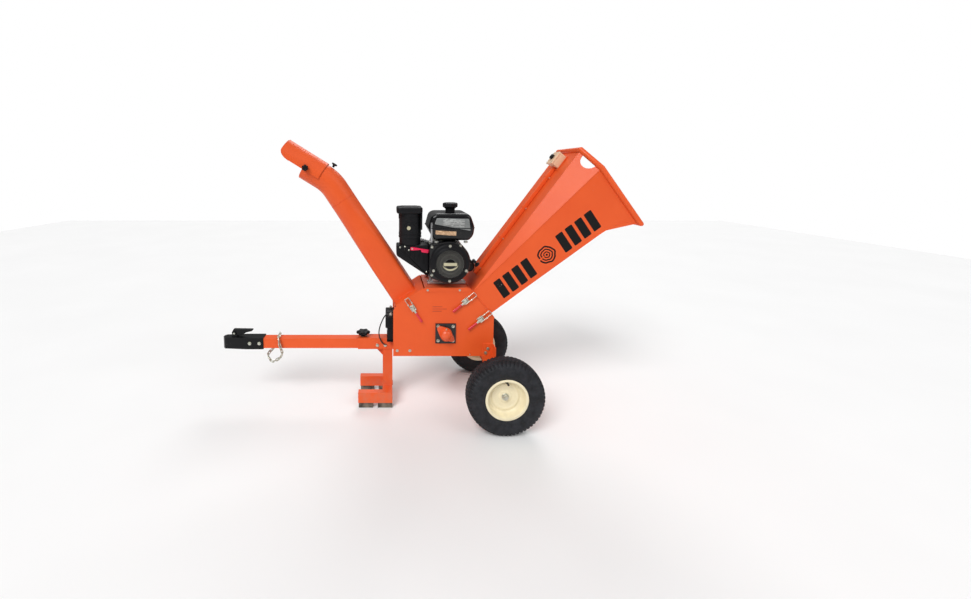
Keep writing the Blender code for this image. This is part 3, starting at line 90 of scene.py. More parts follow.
class Signal:
    """A socket that takes part in Python arithmetic: each operator adds one Math node."""

    def __init__(self, recipe: "Recipe", socket: bpy.types.NodeSocket) -> None:
        """Keeps the recipe that the socket belongs to."""
        self.recipe = recipe
        self.socket = socket

    def math(self, operation: str, *values: "Signal | float") -> "Signal":
        """One Math node on this signal and further values.

        Args:
            operation: the node's operation.
            values: all of its inputs, in order.

        Returns:
            The node's result.
        """
        return self.recipe.node("ShaderNodeMath", {"operation": operation}, dict(enumerate(values)))

    def __add__(self, other: "Signal | float") -> "Signal":
        """Sum."""
        return self.math("ADD", self, other)

    __radd__ = __add__

    def __sub__(self, other: "Signal | float") -> "Signal":
        """Difference."""
        return self.math("SUBTRACT", self, other)

    def __rsub__(self, other: float) -> "Signal":
        """Difference from a number."""
        return self.math("SUBTRACT", other, self)

    def __mul__(self, other: "Signal | float") -> "Signal":
        """Product."""
        return self.math("MULTIPLY", self, other)

    __rmul__ = __mul__

    def above(self, edge: float, soft: float) -> "Signal":
        """A mask that rises from 0 to 1 round an edge.

        Args:
            edge: the value at the middle of the rise.
            soft: the width of the rise.

        Returns:
            The mask.
        """
        settings = {"interpolation_type": "SMOOTHSTEP", "clamp": True}
        values = {0: self, 1: edge - soft / 2, 2: edge + soft / 2, 3: 0.0, 4: 1.0}
        return self.recipe.node("ShaderNodeMapRange", settings, values)


class Recipe:
    """One material: its node tree, and the one method that adds a node of any kind."""

    def __init__(self, name: str) -> None:
        """Starts an empty tree."""
        self.material = bpy.data.materials.new(name)
        self.material.use_nodes = True
        self.tree = self.material.node_tree
        self.tree.nodes.clear()

    def node(
        self,
        kind: str,
        settings: dict[str, object] | None = None,
        values: dict[int | str, object] | None = None,
        output: int | str = 0,
    ) -> Signal:
        """Adds a node.

        Args:
            kind: the node's type name.
            settings: its own settings, which are set first.
            values: for each input, by name or number, a signal or a plain value.
            output: which of its outputs to return.

        Returns:
            That output.
        """
        made = self.tree.nodes.new(kind)
        for name, value in (settings or {}).items():
            setattr(made, name, value)
        for name, value in (values or {}).items():
            if isinstance(value, Signal):
                self.tree.links.new(value.socket, made.inputs[name])
            else:
                made.inputs[name].default_value = value
        return Signal(self, made.outputs[output])

    def place(self, stretch: Colour = (1.0, 1.0, 1.0), turn: Colour = (0.0, 0.0, 0.0)) -> Signal:
        """The point's place on the object, stretched and turned for a pattern."""
        spot = self.node("ShaderNodeTexCoord", output="Object")
        return self.node("ShaderNodeMapping", None, {"Vector": spot, "Scale": stretch, "Rotation": turn})

    def axis(self, which: int) -> Signal:
        """One coordinate of the point's place, in metres."""
        spot = self.node("ShaderNodeTexCoord", output="Object")
        return self.node("ShaderNodeSeparateXYZ", None, {0: spot}, which)

    def noise(self, size: float, detail: float = 3.0, spot: Signal | None = None) -> Signal:
        """Soft patches.

        Args:
            size: the patches' size in metres.
            detail: how much finer grain is in them.
            spot: a place other than the plain one.

        Returns:
            A value from 0 to 1.
        """
        values = {"Vector": spot or self.place(), "Scale": 1.0 / size, "Detail": detail, "Roughness": 0.55}
        return self.node("ShaderNodeTexNoise", None, values, "Fac")

    def cells(self, size: float, feature: str = "F1", spot: Signal | None = None) -> Signal:
        """Distances to scattered points, which are a size apart."""
        values = {"Vector": spot or self.place(), "Scale": 1.0 / size}
        return self.node("ShaderNodeTexVoronoi", {"feature": feature}, values, "Distance")

    def mix(self, low: "Signal | Colour", high: "Signal | Colour", factor: Signal) -> Signal:
        """A colour between two, by a factor."""
        ends = [v if isinstance(v, Signal) else (*v, 1.0) for v in (low, high)]
        return self.node("ShaderNodeMix", {"data_type": "RGBA"}, {0: factor, 6: ends[0], 7: ends[1]}, 2)

    def bump(self, height: Signal, depth: float, under: Signal | None = None) -> Signal:
        """A normal from a height of 0 to 1, over another normal if there is one."""
        values: dict[int | str, object] = {"Height": height, "Distance": depth, "Strength": 1.0}
        if under is not None:
            values["Normal"] = under
        return self.node("ShaderNodeBump", None, values, "Normal")

    def close(self, values: dict[int | str, object]) -> bpy.types.Material:
        """Ends the tree with a Principled shader.

        Args:
            values: the shader's inputs by name.

        Returns:
            The material.
        """
        shader = self.node("ShaderNodeBsdfPrincipled", None, values, "BSDF")
        self.node_output(shader)
        return self.material

    def node_output(self, shader: Signal) -> None:
        """Leads a shader to the surface."""
        out = self.tree.nodes.new("ShaderNodeOutputMaterial")
        self.tree.links.new(shader.socket, out.inputs["Surface"])


class Grain(Enum):
    """How a finish feels close up."""

    PEEL = "the soft orange peel of baked powder"
    MOULDED = "the fine leather of a mould"
    BRUSHED = "long fine drawing marks"
    CAST = "the pits of a sand casting"
    PLATED = "the dull flakes of zinc"
    SMOOTH = "gloss with a few hairlines"


@dataclass(frozen=True)
class Finish:
    """A surface: its colour, how uneven it is, how it shines, and its grain."""

    name: str
    colour: Colour
    shade: Colour
    roughness: float
    grain: Grain
    slot: str
    metallic: float = 0.0
    patch: float = 0.22
    uneven: float = 0.5
    coat: float = 0.0
    shine: float = 0.5
    depth: float = 0.0002
    dust: float = 0.25
    wear: float = 0.10
    wear_colour: Colour = (0.62, 0.56, 0.50)

    def grain_height(self, recipe: Recipe) -> Signal:
        """The grain's height, from 0 to 1.

        Args:
            recipe: the material under way.

        Returns:
            The height.
        """
        if self.grain is Grain.PEEL:
            return recipe.noise(0.0035, 1.0)
        if self.grain is Grain.MOULDED:
            return recipe.cells(0.0011)
        if self.grain is Grain.BRUSHED:
            return recipe.noise(0.0012, 4.0, recipe.place((0.03, 1.0, 1.0)))
        if self.grain is Grain.CAST:
            return recipe.cells(0.0022) * 0.6 + recipe.noise(0.0012, 5.0) * 0.4
        if self.grain is Grain.PLATED:
            return recipe.cells(0.0042) * 0.5 + recipe.noise(0.002, 3.0) * 0.5
        return recipe.noise(0.0009, 2.0, recipe.place((0.05, 1.0, 0.4)))

    def build(self) -> bpy.types.Material:
        """Makes the material: patches of a second shade, wear spots, dust low down, and the grain.

        Returns:
            The material.
        """
        recipe = Recipe(self.name)
        patches = recipe.noise(self.patch, 5.0).above(0.5, 0.5) * self.uneven
        fine = recipe.noise(0.012, 4.0)
        colour = recipe.mix(self.colour, self.shade, patches + (fine - 0.5) * 0.18)
        chips = recipe.noise(0.006, 3.0).above(0.715, 0.03) * recipe.noise(0.09, 2.0).above(0.6, 0.1)
        colour = recipe.mix(colour, self.wear_colour, chips * self.wear * 4.0)
        low = 1.0 - recipe.axis(2).above(0.16, 0.32)
        dust = low * recipe.noise(0.05, 6.0).above(0.48, 0.4) * self.dust
        colour = recipe.mix(colour, (0.33, 0.27, 0.21), dust)
        streak = recipe.noise(0.004, 3.0, recipe.place((1.0, 1.0, 0.12))).above(0.62, 0.2)
        rough = fine * 0.14 + (self.roughness - 0.07) + dust * 0.5 + streak * 0.05
        values: dict[int | str, object] = {
            "Base Color": colour,
            "Roughness": rough,
            "Metallic": self.metallic,
            "Specular IOR Level": self.shine,
            "Normal": recipe.bump(self.grain_height(recipe), self.depth),
        }
        if self.coat:
            values["Coat Weight"] = self.coat
            values["Coat Roughness"] = 0.12
        return recipe.close(values)


ORANGE: Colour = (0.80, 0.108, 0.020)
ORANGE_SHADE: Colour = (0.72, 0.080, 0.014)
BLACK: Colour = (0.0065, 0.0065, 0.0075)
BLACK_SHADE: Colour = (0.014, 0.014, 0.016)

POWDER = Finish(
    "powder_orange", ORANGE, ORANGE_SHADE, 0.44, Grain.PEEL, "orange", coat=0.05, shine=0.28, depth=0.00002
)
CREAM = Finish("cream_enamel", (0.86, 0.77, 0.53), (0.80, 0.70, 0.47), 0.36, Grain.SMOOTH, "cream", coat=0.3)
PLASTIC = Finish(
    "moulded_black", BLACK, BLACK_SHADE, 0.42, Grain.MOULDED, "plastic", shine=0.15, depth=0.00010
)
GLOSS = Finish(
    "gloss_black", (0.004, 0.004, 0.005), BLACK, 0.22, Grain.SMOOTH, "plastic", coat=0.15, shine=0.3
)
ENAMEL = Finish(
    "black_enamel", (0.003, 0.003, 0.004), BLACK, 0.34, Grain.PEEL, "black_paint", coat=0.04, shine=0.2
)
PAD = Finish(
    "pad_rubber", (0.020, 0.018, 0.016), (0.040, 0.034, 0.028), 0.80, Grain.MOULDED, "rubber", dust=0.6
)
CURTAIN = Finish(
    "curtain_rubber", (0.014, 0.014, 0.015), (0.030, 0.028, 0.026), 0.70, Grain.MOULDED, "rubber"
)
LEAD = Finish("lead_jacket", (0.012, 0.012, 0.014), (0.030, 0.030, 0.032), 0.50, Grain.SMOOTH, "rubber")
ZINC = Finish(
    "bright_zinc", (0.66, 0.65, 0.58), (0.50, 0.52, 0.42), 0.30, Grain.PLATED, "zinc", 1.0, 0.02, 0.8, wear=0.02
)
STEEL = Finish(
    "machined_steel", (0.46, 0.46, 0.47), (0.34, 0.33, 0.33), 0.30, Grain.BRUSHED, "steel", 1.0, 0.05
)
ALLOY = Finish(
    "cast_alloy", (0.56, 0.56, 0.56), (0.42, 0.42, 0.41), 0.46, Grain.CAST, "aluminium", 0.85, 0.05, depth=0.0004
)
RED = Finish(
    "red_dip", (0.66, 0.020, 0.040), (0.52, 0.012, 0.026), 0.34, Grain.SMOOTH, "red", coat=0.3, wear=0.03
)
CHERRY = Finish(
    "cherry_lever", (0.80, 0.008, 0.075), (0.66, 0.004, 0.055), 0.36, Grain.SMOOTH, "red", wear=0.02
)
HEAT = Finish(
    "heat_paint", (0.055, 0.050, 0.048), (0.11, 0.075, 0.055), 0.55, Grain.CAST, "muffler", 0.6, 0.03, 0.9
)
BEIGE = Finish("box_beige", (0.80, 0.55, 0.36), (0.70, 0.45, 0.28), 0.42, Grain.MOULDED, "box")
PANEL = Finish("tank_panel", (0.20, 0.21, 0.21), (0.26, 0.27, 0.26), 0.42, Grain.SMOOTH, "plastic", 0.3, 0.05)
VINYL = Finish(
    "black_vinyl",
    (0.006, 0.006, 0.006),
    (0.012, 0.011, 0.010),
    0.46,
    Grain.SMOOTH,
    "plastic",
    wear=0.3,
    shine=0.16,
)
# Painted shade: the pressed lines are the housing's own orange, drawn darker as the shade in their creases.
GROOVE_SHADE = Finish("pressed_line_shade", (0.46, 0.055, 0.014), (0.38, 0.040, 0.012), 0.42, Grain.PEEL, "orange")
# Painted highlight: a lighter, metallic grey on the starter grille's dark ribs and rings, standing in for the
# highlights they catch.
GRILLE_HIGHLIGHT = Finish(
    "grille_highlight_grey", (0.17, 0.165, 0.15), (0.09, 0.088, 0.082), 0.34, Grain.BRUSHED, "plastic", 0.7, 0.03
)
BADGE = Finish("pale_badge", (0.62, 0.57, 0.38), (0.45, 0.43, 0.30), 0.38, Grain.BRUSHED, "zinc", 0.4, 0.02)


@dataclass(frozen=True)
class SplitFinish:
    """Two finishes on one node, on either side of a plane."""

    name: str
    behind: Finish
    front: Finish
    normal: Colour
    edge: float

    def build(self) -> bpy.types.Material:
        """Mixes the two colours by the place's distance along the plane's normal.

        Returns:
            The material.
        """
        recipe = Recipe(self.name)
        spot = recipe.node("ShaderNodeTexCoord", output="Object")
        values = {0: spot, 1: self.normal}
        reach = recipe.node("ShaderNodeVectorMath", {"operation": "DOT_PRODUCT"}, values, "Value")
        side = reach.above(self.edge, 0.0006)
        patches = recipe.noise(0.06, 5.0)
        behind = recipe.mix(self.behind.colour, self.behind.shade, patches)
        front = recipe.mix(self.front.colour, self.front.shade, patches)
        rough = recipe.noise(0.010, 4.0) * 0.14 + (self.behind.roughness - 0.05)
        grain = self.front.grain_height(recipe)
        return recipe.close(
            {
                "Base Color": recipe.mix(behind, front, side),
                "Roughness": rough,
                "Coat Weight": 0.3,
                "Coat Roughness": 0.15,
                "Normal": recipe.bump(grain, self.front.depth),
            }
        )


@dataclass(frozen=True)
class TyreFinish:
    """Black rubber with a dusty bloom on the side walls and scuffed tread tops."""

    name: str = "tyre_rubber"

    def build(self) -> bpy.types.Material:
        """Mixes bloom and scuffs over the rubber.

        Returns:
            The material.
        """
        recipe = Recipe(self.name)
        bloom = recipe.noise(0.035, 6.0).above(0.5, 0.45)
        colour = recipe.mix((0.0065, 0.0070, 0.0090), (0.019, 0.020, 0.025), bloom)
        scuffs = recipe.noise(0.008, 5.0).above(0.58, 0.2)
        colour = recipe.mix(colour, (0.036, 0.034, 0.033), scuffs * 0.3)
        height = recipe.noise(0.0016, 4.0) * 0.7 + recipe.cells(0.003) * 0.3
        rough = recipe.noise(0.02, 4.0) * 0.18 + 0.55
        return recipe.close(
            {
                "Base Color": colour,
                "Roughness": rough,
                "Specular IOR Level": 0.3,
                "Normal": recipe.bump(height, 0.0003),
            }
        )


@dataclass(frozen=True)
class LabelFinish:
    """A printed label: a ground with rows of plain dashes, which stand for no words."""

    name: str
    ground: Colour
    ink: Colour
    row: float
    turn: float = 0.0

    def build(self) -> bpy.types.Material:
        """Prints dashes where a row's wave and a stretched noise are both high.

        Returns:
            The material.
        """
        recipe = Recipe(self.name)
        turned = recipe.place((1.0, 1.0, 1.0), (0.0, self.turn, 0.0))
        rise = recipe.node("ShaderNodeSeparateXYZ", None, {0: turned}, 2)
        rows = rise.math("FRACT", rise * (1.0 / self.row)).above(0.55, 0.12)
        dashes = recipe.noise(0.010, 1.0, recipe.place((0.6, 1.0, 1.6))).above(0.46, 0.05)
        wash = recipe.noise(0.03, 4.0)
        ground = recipe.mix(self.ground, tuple(c * 0.8 for c in self.ground), wash)
        colour = recipe.mix(ground, self.ink, rows * dashes * 0.8)
        bump = recipe.bump(recipe.noise(0.004, 2.0), 0.0001)
        return recipe.close({"Base Color": colour, "Roughness": wash * 0.1 + 0.35, "Normal": bump})


@dataclass(frozen=True)
class SlottedFinish:
    """Dark sheet metal with punched slots in rows, for a heat guard."""

    name: str = "punched_guard"

    def build(self) -> bpy.types.Material:
        """Paints round holes near-black on a staggered grid, as painted shade for the gap seen through them.

        Returns:
            The material.
        """
        recipe = Recipe(self.name)
        holes = recipe.cells(0.011)
        mask = 1.0 - holes.above(0.30, 0.08)
        heat = recipe.noise(0.03, 5.0)
        metal = recipe.mix((0.10, 0.095, 0.09), (0.20, 0.13, 0.09), heat)
        # Painted shade: the holes are near-black patches on the solid guard, standing for the dark gap behind
        # them.
        colour = recipe.mix(metal, (0.004, 0.004, 0.004), mask)
        return recipe.close(
            {
                "Base Color": colour,
                "Metallic": 0.7,
                "Roughness": heat * 0.2 + 0.42,
                "Normal": recipe.bump(1.0 - mask, 0.0012),
            }
        )


class PaintShelf:
    """Every material that is in use, made once."""

    def __init__(self) -> None:
        """Starts empty."""
        self.made: dict[str, bpy.types.Material] = {}

    def take(self, finish: object) -> bpy.types.Material:
        """The finish's material, built on first use."""
        if finish.name not in self.made:
            self.made[finish.name] = finish.build()
        return self.made[finish.name]


SHELF = PaintShelf()


# Surfaces


def spot(x: float, y: float, z: float) -> Vector:
    """A place measured from the axle, in the frame."""
    return Vector((x + AXLE_X, y, z))


def unit(vector: Points) -> Points:
    """Vectors scaled to length 1, along the last axis."""
    return vector / np.linalg.norm(vector, axis=-1, keepdims=True)


def grid_faces(rows: int, columns: int, ring: bool, capped: bool) -> list[list[int]]:
    """Faces between neighbouring points of a grid whose columns close on themselves.

    Args:
        rows: number of loops.
        columns: points in each loop.
        ring: whether the last loop joins the first.
        capped: whether the first and last loops are closed with a face.

    Returns:
        Lists of point numbers.
    """
    row = np.arange(rows if ring else rows - 1)[:, None]
    column = np.arange(columns)[None, :]
    after_row, after = (row + 1) % rows, (column + 1) % columns
    corners = (
        row * columns + column,
        row * columns + after,
        after_row * columns + after,
        after_row * columns + column,
    )
    faces = np.stack(np.broadcast_arrays(*corners), axis=-1).reshape(-1, 4).tolist()
    if capped:
        faces.append(list(range(columns))[::-1])
        faces.append(list(range((rows - 1) * columns, rows * columns)))
    return faces


@dataclass
class Sheet:
    """Points and faces that become one mesh; sheets can be added together."""

    points: Points
    faces: list[list[int]]

    def __add__(self, other: "Sheet") -> "Sheet":
        """Both, as one mesh of separate shells."""
        shift = len(self.points)
        moved = [[index + shift for index in face] for face in other.faces]
        return Sheet(np.concatenate([self.points, other.points]), self.faces + moved)

    def moved(self, matrix: Matrix) -> "Sheet":
        """The sheet carried by a matrix."""
        turn = np.array(matrix)
        return Sheet(self.points @ turn[:3, :3].T + turn[:3, 3], self.faces)


def join(sheets: list[Sheet]) -> Sheet:
    """Several sheets as one."""
    total = sheets[0]
    for sheet in sheets[1:]:
        total = total + sheet
    return total


def skin(loops: Points, ring: bool = False) -> Sheet:
    """A grid of points (loops, points in each loop, 3) as a closed sheet, capped unless it is a ring."""
    rows, columns = loops.shape[:2]
    return Sheet(loops.reshape(-1, 3), grid_faces(rows, columns, ring, not ring))


def axes_of(direction: Points | Vector) -> tuple[Points, Points, Points]:
    """A direction and two more square to it, all of length 1."""
    axis = unit(np.array(direction, float))
    upright = np.array((0.0, 0.0, 1.0) if abs(axis[2]) < 0.9 else (1.0, 0.0, 0.0))
    side = unit(upright - axis * (upright @ axis))
    return axis, side, np.cross(axis, side)


def lathe(
    profile: list[tuple[float, float]],
    centre: Vector,
    axis: Colour | Vector,
    steps: int = 48,
    ring: bool = False,
    lobes: int = 0,
    dip: float = 0.0,
) -> Sheet:
    """A profile of (distance along the axis, radius), turned about the axis through the centre.

    The radius is multiplied by 1 - dip * (1 - cos(lobes * turn)) / 2, which makes grips and facets.

    Args:
        profile: the turned line.
        centre: a point of the axis.
        axis: its direction.
        steps: points round a turn.
        ring: whether the profile closes on itself.
        lobes: number of lobes round a turn.
        dip: how deep the hollows between them are, as a share of the radius.

    Returns:
        The sheet.
    """
    way, side, other = axes_of(axis)
    turn = np.linspace(0.0, 2.0 * np.pi, steps, endpoint=False)[None, :, None]
    along, radius = (np.array(values)[:, None, None] for values in zip(*profile))
    reach = radius * (1.0 - dip * (1.0 - np.cos(lobes * turn)) / 2.0)
    loops = np.array(centre) + way * along + reach * (np.cos(turn) * side + np.sin(turn) * other)
    return skin(loops, ring)


def rounded(corners: list[tuple[float, float]], radius: float, steps: int = 5) -> Points:
    """A closed outline with each corner replaced by a curve that leaves its sides a radius away from it.

    Args:
        corners: the outline's corners in order.
        radius: distance from a corner to where the curve starts, at most 0.45 of a side.
        steps: points of each curve, less one.

    Returns:
        Points (n, 2). A point at share t of a curve is (1-t)^2 start + 2 t (1-t) corner + t^2 end.
    """
    corner = np.array(corners, float)
    before, after = np.roll(corner, 1, axis=0), np.roll(corner, -1, axis=0)
    share = np.linspace(0.0, 1.0, steps + 1)[None, :, None]

    def reach(other: Points) -> Points:
        """Where the curve meets the side towards another corner."""
        gap = np.linalg.norm(other - corner, axis=1, keepdims=True)
        return corner + (other - corner) * np.minimum(radius / gap, 0.45)

    start, end = reach(before)[:, None], reach(after)[:, None]
    curve = (1 - share) ** 2 * start + 2 * share * (1 - share) * corner[:, None] + share**2 * end
    return curve.reshape(-1, 2)


def box_outline(width: float, height: float, radius: float, steps: int = 5) -> Points:
    """A rectangle about its middle with round corners."""
    x, y = width / 2, height / 2
    return rounded([(-x, -y), (x, -y), (x, y), (-x, y)], radius, steps)


def soft_ends(low: float, high: float, radius: float, steps: int = 4) -> list[tuple[float, float]]:
    """Stations (depth, inset) that round both ends of a solid with a quarter circle."""
    turns = np.linspace(0.0, np.pi / 2, steps + 1)
    depth, inset = radius * (1 - np.cos(turns)), radius * (1 - np.sin(turns))
    start = list(zip(low + depth, inset))
    return start + [(high - d, i) for d, i in zip(depth[::-1], inset[::-1])]


def solid(outline: Points, stations: list[tuple[float, float]], place: Matrix) -> Sheet:
    """An outline carried along a frame's Z through stations of (depth, inset).

    Each point moves inwards along the outline's own normal by the inset.

    Args:
        outline: points (n, 2) in the frame's X and Y.
        stations: depths, and how far the outline is drawn in at each.
        place: the frame.

    Returns:
        The sheet.
    """
    tangent = unit(np.roll(outline, -1, axis=0) - np.roll(outline, 1, axis=0))
    normal = np.stack([tangent[:, 1], -tangent[:, 0]], axis=1)
    area = np.sum(outline[:, 0] * np.roll(outline[:, 1], -1) - outline[:, 1] * np.roll(outline[:, 0], -1))
    normal *= math.copysign(1.0, area)
    depth, inset = (np.array(values)[:, None, None] for values in zip(*stations))
    flat = outline[None] - normal[None] * inset
    loops = np.concatenate([flat, np.broadcast_to(depth, flat.shape[:2] + (1,))], axis=2)
    return skin(loops).moved(place)


def facing(origin: Vector, across: Vector, out: Vector) -> Matrix:
    """A frame at a place with X across and Z out."""
    depth = Vector(out).normalized()
    width = (Vector(across) - depth * Vector(across).dot(depth)).normalized()
    turn = Matrix((width, depth.cross(width), depth)).transposed().to_4x4()
    return Matrix.Translation(origin) @ turn


def side_on(x: float, y: float, z: float, side: float = NEAR) -> Matrix:
    """A frame on a side face: X along the model's X, Y upwards and Z away from the machine."""
    turn = Matrix(((1.0, 0.0, 0.0), (0.0, 0.0, side), (0.0, 1.0, 0.0))).to_4x4()
    return Matrix.Translation(spot(x, y, z)) @ turn


def smooth_path(points: list[tuple[float, float, float]] | Points, steps: int, ring: bool = False) -> Points:
    """A Catmull-Rom curve through the points, with a number of steps between each two."""
    known = np.array(points, float)
    if ring:
        before, start = np.roll(known, 1, axis=0), known
        end, after = np.roll(known, -1, axis=0), np.roll(known, -2, axis=0)
    else:
        held = np.concatenate([[2 * known[0] - known[1]], known, [2 * known[-1] - known[-2]]])
        before, start, end, after = held[:-3], held[1:-2], held[2:-1], held[3:]
    t = np.linspace(0.0, 1.0, steps, endpoint=False)[None, :, None]
    before, start, end, after = (v[:, None] for v in (before, start, end, after))
    curve = 0.5 * (
        2 * start
        + (end - before) * t
        + (2 * before - 5 * start + 4 * end - after) * t**2
        + (3 * start - before - 3 * end + after) * t**3
    )
    found = curve.reshape(-1, 3)
    return found if ring else np.concatenate([found, known[-1:]])


def sweep(path: Points, section: Points, ring: bool = False, up: Colour | None = None) -> Sheet:
    """A section (n, 2) carried along a path (m, 3).

    The section turns with the path without twisting, or keeps its second axis towards a given direction.

    Args:
        path: the points it follows.
        section: its outline, about the path.
        ring: whether the path is closed.
        up: the direction of the section's second axis, for a flat strap.

    Returns:
        The sheet.
    """
    if ring:
        way = unit(np.roll(path, -1, axis=0) - np.roll(path, 1, axis=0))
    else:
        way = unit(np.gradient(path, axis=0))
    if up is None:
        _, first, _ = axes_of(way[0])
        sides = [first]
        for direction in way[1:]:
            held = sides[-1] - direction * (sides[-1] @ direction)
            sides.append(unit(held))
        side = np.array(sides)
        if ring:
            last = sides[-1] - way[0] * (sides[-1] @ way[0])
            other = np.cross(way[0], sides[0])
            slip = math.atan2(last @ other, last @ sides[0])
            back = -slip * np.arange(len(path))[:, None] / len(path)
            side = side * np.cos(back) + np.cross(way, side) * np.sin(back)
    else:
        side = unit(np.cross(np.array(up, float)[None], way))
    other = np.cross(way, side)
    loops = path[:, None] + side[:, None] * section[None, :, :1] + other[:, None] * section[None, :, 1:]
    return skin(loops, ring)


def circle(radius: float, sides: int = 16) -> Points:
    """A round section."""
    turn = np.linspace(0.0, 2.0 * np.pi, sides, endpoint=False)
    return np.stack([radius * np.cos(turn), radius * np.sin(turn)], axis=1)


def tube(path: Points, radius: float, sides: int = 16, ring: bool = False) -> Sheet:
    """A round rod along a path."""
    return sweep(path, circle(radius, sides), ring)


def hexagon(flats: float) -> Points:
    """A bolt head's outline, by its width across the flats."""
    return circle(flats / math.sqrt(3.0), 6)


def bolt(place: Matrix, flats: float = 0.013, height: float = 0.006, washer: float = 0.010) -> Sheet:
    """A hexagon bolt's head with chamfered corners on a washer, standing on a face.

    Args:
        place: a frame on the face, with Z out of it.
        flats: width of the head across its flats.
        height: its height.
        washer: the washer's radius, or 0 for none.

    Returns:
        The sheet.
    """
    base = 0.0014 if washer else 0.0
    head = [(base - 0.0005, 0.0), (base + height * 0.8, 0.0), (base + height, flats * 0.10)]
    shells = [solid(hexagon(flats), head, place)]
    if washer:
        shells.append(solid(circle(washer, 24), [(-0.0005, 0.0), (0.0011, 0.0), (0.0014, 0.0003)], place))
    return join(shells)


def screw(place: Matrix, radius: float = 0.004) -> Sheet:
    """A small round-headed screw."""
    head = [(-0.0005, 0.0), (0.0006, 0.0), (0.0018, radius * 0.25), (0.0023, radius * 0.7)]
    return solid(circle(radius, 20), head, place)


def weld(path: Points, radius: float = 0.0032) -> Sheet:
    """A weld bead: a rod whose radius ripples as 1 + 0.14 cos of its length, along a path."""
    length = np.concatenate([[0.0], np.cumsum(np.linalg.norm(np.diff(path, axis=0), axis=1))])
    ripples = np.arange(0.0, length[-1], 0.0016)
    fine = np.stack([np.interp(ripples, length, path[:, k]) for k in range(3)], axis=1)
    shape = tube(fine, radius, 8)
    loops = shape.points.reshape(len(fine), 8, 3)
    swell = 1.0 + 0.14 * np.cos(ripples * 2 * np.pi / 0.0064)
    loops = fine[:, None] + (loops - fine[:, None]) * swell[:, None, None]
    return skin(loops)


@dataclass
class Assembly:
    """A group of pieces: the steps that turn a sheet into a finished, riding piece."""

    body: str = CHASSIS

    def piece(
        self,
        name: str,
        sheet: Sheet,
        finish: object,
        body: str | None = None,
        replaces: tuple[str, ...] = (),
        slot: str | None = None,
        sharp: float = 38.0,
    ) -> bpy.types.Object:
        """Makes a piece from a sheet.

        Args:
            name: the piece's name.
            sheet: its points and faces.
            finish: its finish.
            body: the body it rides on, if not this assembly's own.
            replaces: frame nodes that it stands for.
            slot: the record's material slot, if not the finish's own; not used.
            sharp: the angle in degrees past which an edge stays sharp.

        Returns:
            The object.
        """
        mesh = bpy.data.meshes.new(name)
        mesh.from_pydata(sheet.points.tolist(), [], sheet.faces)
        shape = bmesh.new()
        shape.from_mesh(mesh)
        bmesh.ops.recalc_face_normals(shape, faces=shape.faces)
        shape.to_mesh(mesh)
        shape.free()
        mesh.shade_smooth()
        mesh.set_sharp_from_angle(angle=math.radians(sharp))
        mesh.materials.append(SHELF.take(finish))
        made = bpy.data.objects.new(name, mesh)
        bpy.context.scene.collection.objects.link(made)
        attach(made, body or self.body)
        if replaces:
            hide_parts(*replaces)
        slot or getattr(finish, "slot", "plastic")
        log.info("%s: %d faces", name, len(sheet.faces))
        return made


# Stage


